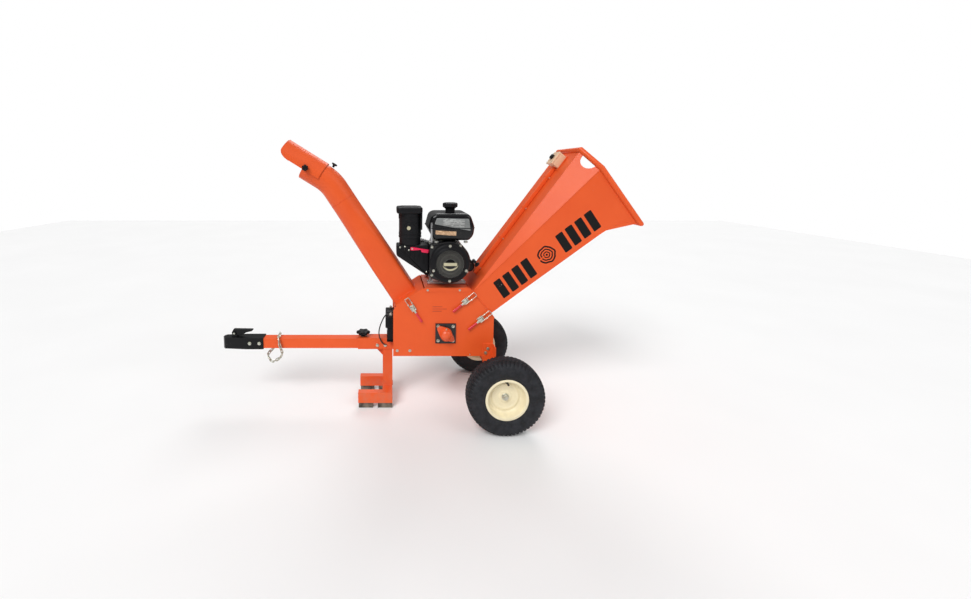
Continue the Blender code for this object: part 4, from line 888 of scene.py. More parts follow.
@dataclass(frozen=True)
class Studio:
    """A pale floor, soft light and the camera."""

    eye: Colour = (-0.1815, -2.468, 1.409)
    pitch: float = 6.40
    lens: float = 15.54
    shift: tuple[float, float] = (0.1004, -0.0858)
    horizon: float = 0.12
    zenith: float = 0.55

    def camera(self) -> None:
        """Sets the camera level from side to side, a little nose down."""
        data = bpy.data.cameras.new("camera")
        data.lens, data.sensor_width = self.lens, 36.0
        data.shift_x, data.shift_y = self.shift
        made = bpy.data.objects.new("camera", data)
        made.location = self.eye
        made.rotation_euler = (math.radians(90.0 - self.pitch), 0.0, 0.0)
        bpy.context.scene.collection.objects.link(made)
        bpy.context.scene.camera = made

    def lamp(self, name: str, way: Colour, spread: float, power: float) -> None:
        """A distant light as wide as a soft box, which shines from a direction."""
        data = bpy.data.lights.new(name, "SUN")
        data.angle, data.energy = math.radians(spread), power
        made = bpy.data.objects.new(name, data)
        made.location = way
        made.rotation_euler = (-Vector(way)).to_track_quat("-Z", "Y").to_euler()
        bpy.context.scene.collection.objects.link(made)

    def sky(self) -> None:
        """A white backdrop that lights the machine faintly from its horizon and more from above."""
        world = bpy.data.worlds.new("studio")
        world.use_nodes = True
        tree = world.node_tree
        path = tree.nodes.new("ShaderNodeLightPath")
        way = tree.nodes.new("ShaderNodeTexCoord")
        parts = tree.nodes.new("ShaderNodeSeparateXYZ")
        tree.links.new(way.outputs["Generated"], parts.inputs[0])
        height = tree.nodes.new("ShaderNodeMapRange")
        height.inputs["To Min"].default_value = self.horizon
        height.inputs["To Max"].default_value = self.zenith
        tree.links.new(parts.outputs["Z"], height.inputs["Value"])
        level = tree.nodes.new("ShaderNodeMapRange")
        level.inputs["To Max"].default_value = 1.0
        tree.links.new(height.outputs[0], level.inputs["To Min"])
        tree.links.new(path.outputs["Is Camera Ray"], level.inputs["Value"])
        backdrop = tree.nodes["Background"]
        backdrop.inputs["Color"].default_value = (1.0, 1.0, 1.0, 1.0)
        tree.links.new(level.outputs[0], backdrop.inputs["Strength"])
        bpy.context.scene.world = world

    def build(self) -> None:
        """Makes the floor, the light and the camera."""
        self.camera()
        scene = bpy.context.scene
        scene.view_settings.view_transform = "Standard"
        self.sky()
        self.lamp("key", (-2.1, -3.2, 3.5), 28.0, 2.1)
        self.lamp("fill", (3.4, -2.4, 2.6), 40.0, 0.5)
        self.lamp("back", (0.8, 3.6, 3.4), 30.0, 0.9)
        floor = Recipe("pale_floor")
        wash = floor.noise(0.8, 2.0)
        shade = floor.mix((0.84, 0.84, 0.84), (0.88, 0.88, 0.88), wash)
        paint = floor.close({"Base Color": shade, "Roughness": wash * 0.1 + 0.7})
        edge = np.linspace(-9.0, 9.0, 13)
        across, along = np.meshgrid(edge, edge, indexing="ij")
        points = np.stack([across, along, np.zeros_like(across) - 0.0005], axis=-1).reshape(-1, 3)
        row, column = np.meshgrid(np.arange(12), np.arange(12), indexing="ij")
        first = (row * 13 + column).reshape(-1, 1)
        mesh = bpy.data.meshes.new("floor")
        mesh.from_pydata(points.tolist(), [], (first + np.array([[0, 13, 14, 1]])).tolist())
        mesh.materials.append(paint)
        made = bpy.data.objects.new("floor", mesh)
        scene.collection.objects.link(made)


# Wheels


@dataclass
class Wheel(Assembly):
    """A tyre with cut tread, a pressed rim, a valve and the axle's nut."""

    side: float = NEAR
    label: str = "near"
    track: float = 0.700
    radius: float = 0.2075
    lugs: int = 58
    lug_steps: int = 9
    across: int = 104
    half_profile: list[tuple[float, float]] = field(
        default_factory=lambda: [
            (0.0494, 0.1003),
            (0.0500, 0.1165),
            (0.0560, 0.1285),
            (0.0608, 0.1500),
            (0.0604, 0.1700),
            (0.0555, 0.1880),
            (0.0430, 0.2015),
            (0.0230, 0.2062),
            (0.0000, 0.2075),
        ]
    )

    def middle(self) -> Vector:
        """The wheel's middle."""
        return spot(0.0, self.side * self.track / 2, self.radius)

    def section(self) -> tuple[Points, Points, Points]:
        """The tyre's section, from one bead over the crown to the other.

        Returns:
            Points (n, 2) of distance along the axle and radius, the outward normals, and each point's
            distance from the crown along the surface.
        """
        half = np.array(self.half_profile)
        whole = np.concatenate([half, half[-2::-1] * (-1.0, 1.0)])
        curve = smooth_path(np.column_stack([whole, np.zeros(len(whole))]), 16)[:, :2]
        length = np.concatenate([[0.0], np.cumsum(np.linalg.norm(np.diff(curve, axis=0), axis=1))])
        even = np.linspace(0.0, length[-1], self.across)
        line = np.stack([np.interp(even, length, curve[:, k]) for k in (0, 1)], axis=1)
        way = unit(np.gradient(line, axis=0))
        normal = np.stack([-way[:, 1], way[:, 0]], axis=1)
        normal *= np.sign(normal[self.across // 2, 1])
        return line, normal, even - length[-1] / 2

    def tread_depth(self, turn: Points, reach: Points) -> Points:
        """How deep the tread is cut.

        Two zigzag grooves run round the crown, slots cross the middle ribs at half a pitch, and long
        slots cut the shoulders. Each is a smooth step of its distance from the groove's middle.

        Args:
            turn: the angle round the wheel, in lugs.
            reach: distance from the crown along the surface.

        Returns:
            Depths in metres.
        """

        def groove(distance: Points, width: float) -> Points:
            """A channel's depth as a share, 1 at its middle and 0 past its width."""
            share = np.clip(1.5 - 2.0 * np.abs(distance) / width, 0.0, 1.0)
            return share * share * (3.0 - 2.0 * share)

        side = np.abs(reach)
        phase = turn - np.floor(turn)
        zigzag = 0.0022 * (4.0 * np.abs(phase - 0.5) - 1.0)
        rings = groove(side - 0.0115 - zigzag, 0.0042) + groove(side - 0.0300 + zigzag, 0.0038)
        slot = groove(phase - 0.5, 0.30) * (side > 0.030) * np.clip((0.066 - side) / 0.006, 0.0, 1.0)
        other = np.abs((turn + 0.5) % 1.0 - 0.5)
        cross = groove(other, 0.20) * (side > 0.0115) * (side < 0.030) * 0.6
        return 0.0052 * np.clip(np.maximum(np.maximum(rings, slot), cross), 0.0, 1.0)

    def tyre(self) -> None:
        """The section turned round the axle, cut by the tread, with thin rings on the side walls."""
        line, normal, reach = self.section()
        count = self.lugs * self.lug_steps
        turn = np.arange(count) / self.lug_steps
        depth = self.tread_depth(turn[:, None], reach[None, :])
        wall = np.abs(reach)
        rings = sum(np.exp(-(((wall - place) / 0.0011) ** 2)) for place in (0.081, 0.098, 0.118))
        height = 0.0007 * rings[None, :] - depth
        shape = line[None] + normal[None] * height[..., None]
        angle = turn * 2.0 * np.pi / self.lugs
        wheel_x, wheel_y, wheel_z = self.middle()
        inner = np.array([[-0.047, 0.0998], [0.047, 0.0998]])
        closed = np.concatenate([shape, np.broadcast_to(inner, (count, 2, 2))], axis=1)
        points = np.stack(
            [
                wheel_x + np.sin(angle)[:, None] * closed[..., 1],
                wheel_y + closed[..., 0] * self.side * -1.0,
                wheel_z + np.cos(angle)[:, None] * closed[..., 1],
            ],
            axis=-1,
        )
        self.piece(
            f"tread_tyre_{self.label}", skin(points, True), TyreFinish(), replaces=(
                f"tyre_{self.label}",
            ), slot="tyre"
        )

    def rim(self) -> None:
        """The pressed rim: rolled flanges, a deep barrel, and a disc with a raised ring and a hub."""
        edge, seat, flange, barrel, hub = 0.050, 0.0998, 0.1145, 0.0963, 0.012
        corners = [
            (-edge, flange),
            (-edge + 0.004, flange),
            (-edge + 0.005, seat),
            (edge - 0.005, seat),
            (edge - 0.004, flange),
            (edge, flange),
            (edge + 0.001, barrel + 0.004),
            (hub + 0.010, barrel - 0.003),
            (hub - 0.004, barrel - 0.012),
            (hub - 0.004, 0.076),
            (hub - 0.001, 0.072),
            (hub - 0.001, 0.064),
            (hub - 0.004, 0.060),
            (hub - 0.004, 0.036),
            (hub, 0.030),
            (hub, 0.0133),
            (-0.040, 0.0133),
            (-0.040, 0.026),
            (hub - 0.010, 0.030),
            (hub - 0.010, barrel - 0.014),
            (hub - 0.002, barrel - 0.004),
            (-edge, barrel),
        ]
        line = rounded(corners, 0.0035, 3)
        shape = lathe([tuple(p) for p in line], self.middle(), (0.0, self.side, 0.0), 112, ring=True)
        self.piece(f"pressed_rim_{self.label}", shape, CREAM, replaces=(f"rim_{self.label}",))

    def valve(self) -> None:
        """The rubber valve stem and its cap, near the top of the disc."""
        foot = self.middle() + Vector((0.004, self.side * 0.010, 0.083))
        profile = [(0.0, 0.0095), (0.004, 0.0090), (0.007, 0.0062), (0.024, 0.0050)]
        profile += [(0.0245, 0.0058), (0.039, 0.0056), (0.0405, 0.0042)]
        stem = lathe(profile, foot, (0.0, self.side, 0.05), 24, lobes=12, dip=0.03)
        self.piece(f"valve_{self.label}", stem, PAD)

    def nut(self) -> None:
        """The axle's nut, washer and threaded end, which stay with the axle."""
        face = self.middle() + Vector((0.0, self.side * 0.0123, 0.0))
        place = facing(face, Vector((1.0, 0.0, 0.3)), Vector((0.0, self.side, 0.0)))
        washer = solid(
            circle(0.0196, 40), [(0.0, 0.0006), (0.0006, 0.0), (0.0022, 0.0), (0.0030, 0.0009)], place
        )
        nut = solid(hexagon(0.0285), [(0.0026, 0.0), (0.0112, 0.0), (0.0132, 0.0020)], place)
        thread = lathe(
            [
                (0.012 + 0.0008 * k, 0.0085 - 0.0005 * (k % 2)) for k in range(9)
            ], face, (0.0, self.side, 0.0), 24
        )
        self.piece(f"axle_nut_{self.label}", join([washer, nut, thread]), ZINC, body=CHASSIS)

    def build(self) -> None:
        """Makes the whole wheel."""
        self.tyre()
        self.rim()
        self.valve()
        self.nut()


# Housing


@dataclass
class Seat:
    """A slanted edge of the housing that a flange sits on, from its start to its end, in X and Z."""

    start: tuple[float, float]
    end: tuple[float, float]

    def run(self) -> Vector:
        """The edge's direction."""
        return Vector((self.end[0] - self.start[0], self.end[1] - self.start[1])).normalized()

    def at(self, along: float, out: float, y: float = 0.0) -> Vector:
        """A place by its distance along the edge and out of it."""
        run = self.run()
        x = self.start[0] + run.x * along - run.y * out
        return spot(x, y, self.start[1] + run.y * along + run.x * out)

    def out(self) -> Vector:
        """The direction out of the edge."""
        run = self.run()
        return Vector((-run.y, 0.0, run.x))

    def along(self) -> Vector:
        """The edge's direction in space."""
        run = self.run()
        return Vector((run.x, 0.0, run.y))

    def length(self) -> float:
        """The edge's length."""
        return math.dist(self.start, self.end)

    def matrix(self) -> Matrix:
        """A frame with X along the edge, Y along the model's +Y and Z out of it."""
        return facing(self.at(0.0, 0.0), self.along(), self.out())


CHUTE_SEAT = Seat((-0.579, 0.631), (-0.419, 0.735))
HOPPER_SEAT = Seat((-0.163, 0.735), (-0.017, 0.562))


@dataclass
class Housing(Assembly):
    """Fasteners, pressed lines and weld beads of the rotor's housing, its axle brackets and its bearings."""

    side_face: float = 0.150
    bearing_x: float = -0.293
    bearing_z: float = 0.473
    near_bolts: tuple[tuple[float, float], ...] = ((-0.570, 0.368), (-0.497, 0.368))
    lip_bolts: tuple[float, ...] = (-0.398, -0.216)
    bracket_bolts: tuple[tuple[float, float], ...] = ((-0.048, 0.382), (-0.060, 0.357))

    def fasteners(self) -> None:
        """Bolts on both sides: the stand's, the deck lip's, the axle brackets' and a grub screw."""
        for side, label in ((NEAR, "near"), (FAR, "far")):
            y = side * self.side_face
            stand = [bolt(side_on(x, y, z, side), 0.011, 0.005, 0.0085) for x, z in self.near_bolts]
            lip = [
                bolt(
                    side_on(x, y + side * 0.0033, 0.7268, side), 0.008, 0.004, 0.0065
                ) for x in self.lip_bolts
            ]
            bracket = [
                bolt(
                    side_on(x, y + side * 0.0053, z, side), 0.012, 0.006, 0.0095
                ) for x, z in self.bracket_bolts
            ]
            grub = [screw(side_on(-0.150, y, 0.346, side), 0.0035)]
            self.piece(f"housing_bolts_{label}", join(stand + lip + bracket + grub), ZINC)

    def bearing(self) -> None:
        """The near bearing's four corner bolts, its grease nipple, and the far bearing's bolts."""
        reach = 0.0425
        for side, label, face in ((NEAR, "near", 0.1563), (FAR, "far", 0.1563)):
            corners = [(sx * reach, sz * reach) for sx in (-1, 1) for sz in (-1, 1)]
            bolts = [
                bolt(side_on(self.bearing_x + x, side * face, self.bearing_z + z, side), 0.013, 0.008, 0.0095)
                for x, z in corners
            ]
            self.piece(f"bearing_bolts_{label}", join(bolts), ZINC)
        nipple = [
            (0.0, 0.0040), (0.003, 0.0040), (0.004, 0.0024), (0.007, 0.0024), (0.008, 0.0030), (0.010, 0.0015)
        ]
        place = spot(self.bearing_x + 0.0, -0.1845, self.bearing_z + 0.0325)
        self.piece("grease_nipple", lathe(nipple, place, (0.0, -0.5, 0.86), 16), BADGE)
        rib = circle(0.0305, 56)
        dome = side_on(self.bearing_x, -0.1920, self.bearing_z)
        ring = np.concatenate(
            [rib, np.zeros((56, 1))], axis=1
        ) @ np.array(dome)[:3, :3].T + np.array(dome)[:3, 3]
        self.piece("bearing_cap_bead", tube(ring, 0.0016, 10, True), POWDER)

    def lines(self) -> None:
        """Three short pressed lines on the near side, which carry no words."""
        for index, (x, z, length) in enumerate(
            ((-0.341, 0.629, 0.057), (-0.328, 0.616, 0.082), (-0.343, 0.603, 0.053))
        ):
            outline = box_outline(length, 0.0034, 0.0015, 4)
            line = solid(
                outline, [(-0.0004, 0.0), (0.0003, 0.0), (0.0006, 0.0005)], side_on(x, -self.side_face, z)
            )
            # The lines take the darker orange as painted shade.
            self.piece(f"pressed_line_shade_{index}", line, GROOVE_SHADE)

    def welds(self) -> None:
        """Beads where the brackets and the front panel meet the sides."""
        for side, label in ((NEAR, "near"), (FAR, "far")):
            y = side * (self.side_face + 0.0012)
            left = np.array([spot(-0.0760, y, z) for z in (0.318, 0.360, 0.410)])
            top = np.array([spot(x, y, 0.4115) for x in (-0.075, -0.050, -0.018)])
            self.piece(f"bracket_weld_{label}", join([weld(left, 0.0026), weld(top, 0.0026)]), POWDER)
            inner = side * (self.side_face - 0.0070)
            front = np.array([spot(-0.5372, inner, z) for z in (0.345, 0.45, 0.560)])
            self.piece(f"panel_weld_{label}", weld(front, 0.0028), POWDER)

    def build(self) -> None:
        """Makes all of it."""
        self.fasteners()
        self.bearing()
        self.lines()
        self.welds()


# Clamps


@dataclass
class Clamp(Assembly):
    """An over-centre clamp: a cast body with pins, a red-dipped lever and a bent wire hook."""

    name: str = "chute"
    seat: Seat = field(default_factory=lambda: CHUTE_SEAT)
    along: float = 0.078
    setback: float = 0.056
    side: float = NEAR
    pivot: float = 0.0125

    def frame(self) -> Matrix:
        """X towards the flange, Z away from the side plate, with its origin under the lever's pivot."""
        origin = self.seat.at(self.along, -self.setback, self.side * 0.150)
        return facing(origin, self.seat.out(), Vector((0.0, self.side, 0.0)))

    def hook(self) -> None:
        """A round wire: two legs, a cross bar past the flange's tab, and eyes round the lever's pin."""
        height, half, bar, back = 0.0150, 0.0125, 0.0646, -0.018
        corners = [(back, -0.0058), (back, -half), (bar, -half), (bar, half), (back, half), (back, 0.0058)]
        path = rounded(corners, 0.004, 5)
        path = path[6:-6] if len(path) > 24 else path
        ends = np.array([corners[0]]), np.array([corners[-1]])
        flat = np.concatenate([ends[0], path, ends[1]])
        wire = np.concatenate([flat, np.full((len(flat), 1), height)], axis=1)
        rod = tube(wire, 0.0021, 12).moved(self.frame())
        body = f"clamp_{self.name}_hook"
        self.piece(f"hook_wire_{self.name}", rod, ZINC, body, (f"clamp_{self.name}_hook",))
        nuts = [
            lathe(
                [(0.0, 0.0040), (0.0012, 0.0048), (0.0058, 0.0048), (0.007, 0.0040)],
                Vector((0.024, y, height)),
                (1, 0, 0),
                6,
            )
            for y in (-half, half)
        ]
        self.piece(f"hook_nuts_{self.name}", join(nuts).moved(self.frame()), ZINC, body)

    def lever(self) -> None:
        """A zinc arm between the cheeks and a dipped grip, whose width swells towards its end."""
        body = f"clamp_{self.name}_lever"
        arm = solid(
            rounded([(-0.046, -0.0052), (0.0045, -0.0052), (0.0045, 0.0052), (-0.046, 0.0052)], 0.003),
            [(0.0088, 0.0008), (0.0096, 0.0), (0.0156, 0.0), (0.0162, 0.0006)],
            self.frame(),
        )
        self.piece(f"lever_arm_{self.name}", arm, ZINC, body)
        share = np.linspace(0.0, 1.0, 26)[:, None, None]
        turn = np.linspace(0.0, 2 * np.pi, 24, endpoint=False)[None, :, None]
        round_end = np.sqrt(np.clip(1.0 - (2.0 * np.clip(share, 0.93, 1.0) - 1.86) ** 2 / 0.0196, 0.05, 1.0))
        round_start = np.clip(share / 0.04, 0.55, 1.0)
        swell = (0.0058 + 0.0021 * share**3) * round_end * round_start
        thick = 0.0044 * round_end * round_start
        x = -0.034 - 0.0655 * share + 0.0 * turn
        y = swell * np.sign(np.cos(turn)) * np.abs(np.cos(turn)) ** 0.8
        z = 0.0132 + thick * np.sign(np.sin(turn)) * np.abs(np.sin(turn)) ** 0.8
        grip = skin(np.concatenate([x, y, z], axis=2)).moved(self.frame())
        self.piece(f"lever_grip_{self.name}", grip, RED, body, (f"clamp_{self.name}_lever",))

    def pins(self) -> None:
        """The cheeks' pins and the base's rivets."""
        frame = self.frame()
        shells = []
        for x, z, radius in ((0.0, self.pivot, 0.0028), (0.0065, 0.0065, 0.0022)):
            profile = [
                (-0.0112, radius * 0.8), (-0.0108, radius * 1.5), (-0.0095, radius * 1.5), (-0.0093, radius)
            ]
            profile += [
                (0.0093, radius), (0.0095, radius * 1.5), (0.0108, radius * 1.5), (0.0112, radius * 0.8)
            ]
            shells.append(lathe(profile, Vector((x, 0.0, z)), (0, 1, 0), 18))
        for x in (-0.019, 0.009):
            for y in (-0.0115, 0.0115):
                place = Matrix.Translation((x, y, 0.0023))
                shells.append(screw(place, 0.0022))
        self.piece(f"clamp_pins_{self.name}", join(shells).moved(frame), ZINC)

    def build(self) -> None:
        """Makes the clamp's pieces."""
        self.hook()
        self.lever()
        self.pins()


# Hitch


@dataclass
class Hitch(Assembly):
    """The stand, the sliding tongue, the coupler, the safety chain and the clamp knob."""

    height: float = 0.360
    tongue_front: float = -1.450
    receiver_half: float = 0.0343

    def fasteners(self) -> None:
        """Bolts through the receiver and the coupler, and the pin and spring of the coupler's ball clamp."""
        for side, label in ((NEAR, "near"), (FAR, "far")):
            y = side * self.receiver_half
            bolts = [bolt(side_on(x, y, 0.350, side), 0.013, 0.006, 0.0100) for x in (-0.687, -0.640)]
            self.piece(f"receiver_bolts_{label}", join(bolts), ZINC)
            face = side * 0.0353
            bolts = [bolt(side_on(x, face, 0.361, side), 0.014, 0.007, 0.0105) for x in (-1.460, -1.402)]
            self.piece(f"coupler_bolts_{label}", join(bolts), ZINC, "tongue")
        pin = lathe(
            [(-0.020, 0.003), (-0.019, 0.0055), (-0.0168, 0.0055), (-0.0167, 0.0035)]
            + [(0.0167, 0.0035), (0.0168, 0.0055), (0.019, 0.0055), (0.020, 0.003)],
            spot(-1.558, 0.0, 0.4173),
            (0, 1, 0),
            20,
        )
        self.piece("latch_pin", pin, ZINC, "tongue")
        spring = self.latch_spring()
        self.piece("latch_spring", spring, STEEL, "tongue")

    def latch_spring(self) -> Sheet:
        """A small coil on the latch's pin: x and z circle while y advances."""
        turn = np.linspace(0.0, 5 * 2 * np.pi, 90)
        path = np.stack([0.0078 * np.cos(turn), -0.0005 + 0.0 * turn, 0.0078 * np.sin(turn)], axis=1)
        path[:, 1] = np.linspace(-0.0040, 0.0040, 90) + 0.0215
        return tube(path + np.array(spot(-1.558, 0.0, 0.4173)), 0.0008, 8)

    def latch(self) -> None:
        """Pressed ribs along the latch handle's top and a folded thumb edge."""
        ribs = []
        for y in (-0.0065, 0.0065):
            path = np.array(
                [spot(-1.555 + d, y, 0.4173 + 0.0222 - d * 0.019) for d in np.linspace(0.0, 0.095, 12)]
            )
            ribs.append(tube(path, 0.0016, 10))
        lip = np.array([spot(-1.451, y, 0.4173 + 0.0170) for y in np.linspace(-0.0115, 0.0115, 8)])
        ribs.append(tube(lip, 0.0034, 12))
        self.piece("latch_ribs", join(ribs), ENAMEL, "coupler_latch")

    def chain(self) -> None:
        """Welded links along the chain's route: ovals of round wire, each a quarter turn from the last."""
        x, clear = self.tongue_front + 0.163, 0.0395
        top = self.height + clear
        route = [
            (x, 0.0, top + 0.001),
            (x + 0.002, -0.024, top),
            (x + 0.006, -clear - 0.003, top - 0.012),
            (x + 0.014, -clear - 0.003, self.height - 0.020),
            (x + 0.022, -clear + 0.004, self.height - 0.058),
            (x + 0.002, -0.016, self.height - 0.098),
            (x - 0.046, -0.004, self.height - 0.124),
            (x - 0.076, 0.010, self.height - 0.090),
            (x - 0.050, clear - 0.004, self.height - 0.060),
            (x - 0.014, clear + 0.003, self.height - 0.020),
            (x - 0.006, clear + 0.003, top - 0.012),
            (x - 0.002, 0.024, top),
        ]
        line = smooth_path(route, 24, True)
        line = np.concatenate([line, line[:1]])
        length = np.concatenate([[0.0], np.cumsum(np.linalg.norm(np.diff(line, axis=0), axis=1))])
        count = 2 * round(length[-1] / 0.0212 / 2)
        even = np.linspace(0.0, length[-1], count, endpoint=False)
        at = np.stack([np.interp(even, length, line[:, k]) for k in range(3)], axis=1)
        way = unit(np.roll(at, -1, axis=0) - np.roll(at, 1, axis=0))
        oval = rounded(
            [(-0.0145, -0.0068), (0.0145, -0.0068), (0.0145, 0.0068), (-0.0145, 0.0068)], 0.0062, 4
        )
        links = []
        for index, (place, direction) in enumerate(zip(at, way)):
            _, side, other = axes_of(direction)
            tilt = 0.25 + (index % 2) * math.pi / 2
            flat = side * math.cos(tilt) + other * math.sin(tilt)
            path = place + oval[:, :1] * direction + oval[:, 1:] * flat
            links.append(tube(path + np.array((AXLE_X, 0.0, 0.0)), 0.0029, 8, True))
        self.piece("chain_links", join(links), ZINC, "safety_chain", ("safety_chain",))

    def knob(self) -> None:
        """A six-lobed hand knob on a waisted neck."""
        seat = spot(-0.5353 - 0.270 + 0.031, 0.0, self.height + self.receiver_half + 0.0003)
        profile = [
            (0.0, 0.0130),
            (0.008, 0.0125),
            (0.013, 0.0150),
            (0.0145, 0.0300),
            (0.017, 0.0395),
            (0.021, 0.0418),
        ]
        profile += [
            (0.028, 0.0418),
            (0.0325, 0.0390),
            (0.0350, 0.0310),
            (0.0358, 0.018),
            (0.0345, 0.015),
            (0.0345, 0.004),
        ]
        shape = lathe(profile, seat, (0, 0, 1), 96, lobes=6, dip=0.26)
        self.piece("hand_knob", shape, PLASTIC, "tongue_knob", ("tongue_knob",))
        washer = solid(
            circle(0.0165, 32), [(0.0, 0.0), (0.0016, 0.0), (0.0020, 0.0004)], Matrix.Translation(seat)
        )
        self.piece("hand_knob_washer", washer, ZINC)

    def welds(self) -> None:
        """Beads round the post where it meets the receiver and the foot."""
        half, rear = 0.0295, -0.596
        low = self.height - self.receiver_half - 0.001
        for label, z in (("top", low), ("foot", 0.0958)):
            corners = [(rear - 0.059, -half), (rear, -half), (rear, half), (rear - 0.059, half)]
            ring = rounded(corners, 0.006, 4)
            path = np.concatenate([ring, ring[:1]])
            at = np.concatenate([path, np.full((len(path), 1), z)], axis=1) + np.array((AXLE_X, 0.0, 0.0))
            self.piece(f"post_weld_{label}", weld(at, 0.0028), POWDER)

    def build(self) -> None:
        """Makes all of it."""
        self.fasteners()
        self.latch()
        self.chain()
        self.knob()
        self.welds()


# Battery


@dataclass
class Battery(Assembly):
    """The starting battery, its terminals and its lead."""

    rear: float = -0.5353
    width: float = 0.088
    depth: float = 0.170
    low: float = 0.3979
    height: float = 0.150

    def case(self) -> None:
        """A ribbed case under a wider lid with four vent caps."""
        x = self.rear - 0.004 - self.width / 2
        body = solid(
            box_outline(self.width - 0.004, self.depth - 0.006, 0.005),
            soft_ends(0.0, self.height - 0.040, 0.003),
            Matrix.Translation(spot(x, 0.0, self.low)),
        )
        lid = solid(
            box_outline(self.width + 0.010, self.depth + 0.006, 0.006),
            soft_ends(self.height - 0.070, self.height - 0.001, 0.005),
            Matrix.Translation(spot(x - 0.006, 0.0, self.low)),
        )
        ribs = [
            solid(
                box_outline(0.004, 0.012, 0.0015),
                soft_ends(0.006, self.height - 0.068, 0.001, 2),
                Matrix.Translation(spot(x - self.width / 2 + 0.0025, y, self.low)),
            )
            for y in np.linspace(-0.066, 0.066, 7)
        ]
        self.piece("battery_case", join([body, lid] + ribs), PLASTIC, replaces=("battery",))
        caps = [
            lathe(
                [(0.0, 0.0085), (0.003, 0.0085), (0.004, 0.0070)],
                spot(x + 0.022, y, self.low + self.height - 0.002),
                (0, 0, 1),
                24,
                lobes=12,
                dip=0.08,
            )
            for y in (-0.055, -0.035, 0.035, 0.055)
        ]
        self.piece("battery_caps", join(caps), GLOSS)

    def terminals(self) -> None:
        """Lead posts with a clamp lug and a bolt on each."""
        x = self.rear - 0.004 - self.width + 0.021
        for side, label in ((NEAR, "near"), (FAR, "far")):
            place = spot(x, side * 0.064, self.low + self.height - 0.001)
            post = solid(
                box_outline(0.017, 0.017, 0.002), soft_ends(0.0, 0.011, 0.001), Matrix.Translation(place)
            )
            lug = solid(circle(0.0085, 28), [(0.0105, 0.0), (0.0125, 0.0)], Matrix.Translation(place))
            nut = bolt(Matrix.Translation(place + Vector((0.0, 0.0, 0.0125))), 0.009, 0.004, 0.0065)
            self.piece(f"terminal_{label}", join([post, lug, nut]), ZINC)

    def lead(self) -> None:
        """The battery lead, from the near terminal in a loop past the front to a bolt on the receiver."""
        face, side, terminal = self.rear - 0.092, -0.0403, 0.5538
        route = [
            (face + 0.008, -0.064, terminal),
            (face - 0.010, -0.062, terminal - 0.006),
            (face - 0.028, -0.058, terminal - 0.036),
            (face - 0.044, -0.054, terminal - 0.080),
            (face - 0.050, -0.050, terminal - 0.120),
            (face - 0.044, -0.046, terminal - 0.155),
            (face - 0.030, side - 0.002, terminal - 0.185),
            (face - 0.010, side, terminal - 0.200),
        ]
        path = smooth_path(route, 5) + np.array((AXLE_X, 0.0, 0.0))
        made = self.piece("battery_lead", tube(path, 0.0035, 14), LEAD, replaces=("battery_cable",))
        lug = tube(
            smooth_path([path[-1] - (0.004, 0, -0.002), path[-1], path[-1] + (0.007, 0.0022, -0.001)], 4),
            0.0042,
            14,
        )
        tag = self.piece("lead_lug", lug, ZINC)

    def build(self) -> None:
        """Makes the battery."""
        self.case()
        self.terminals()
        self.lead()


# Engine


def ribs_between(start: Points, end: Points, count: int) -> Points:
    """Evenly spaced points between two, ends included."""
    return np.linspace(np.array(start, float), np.array(end, float), count)


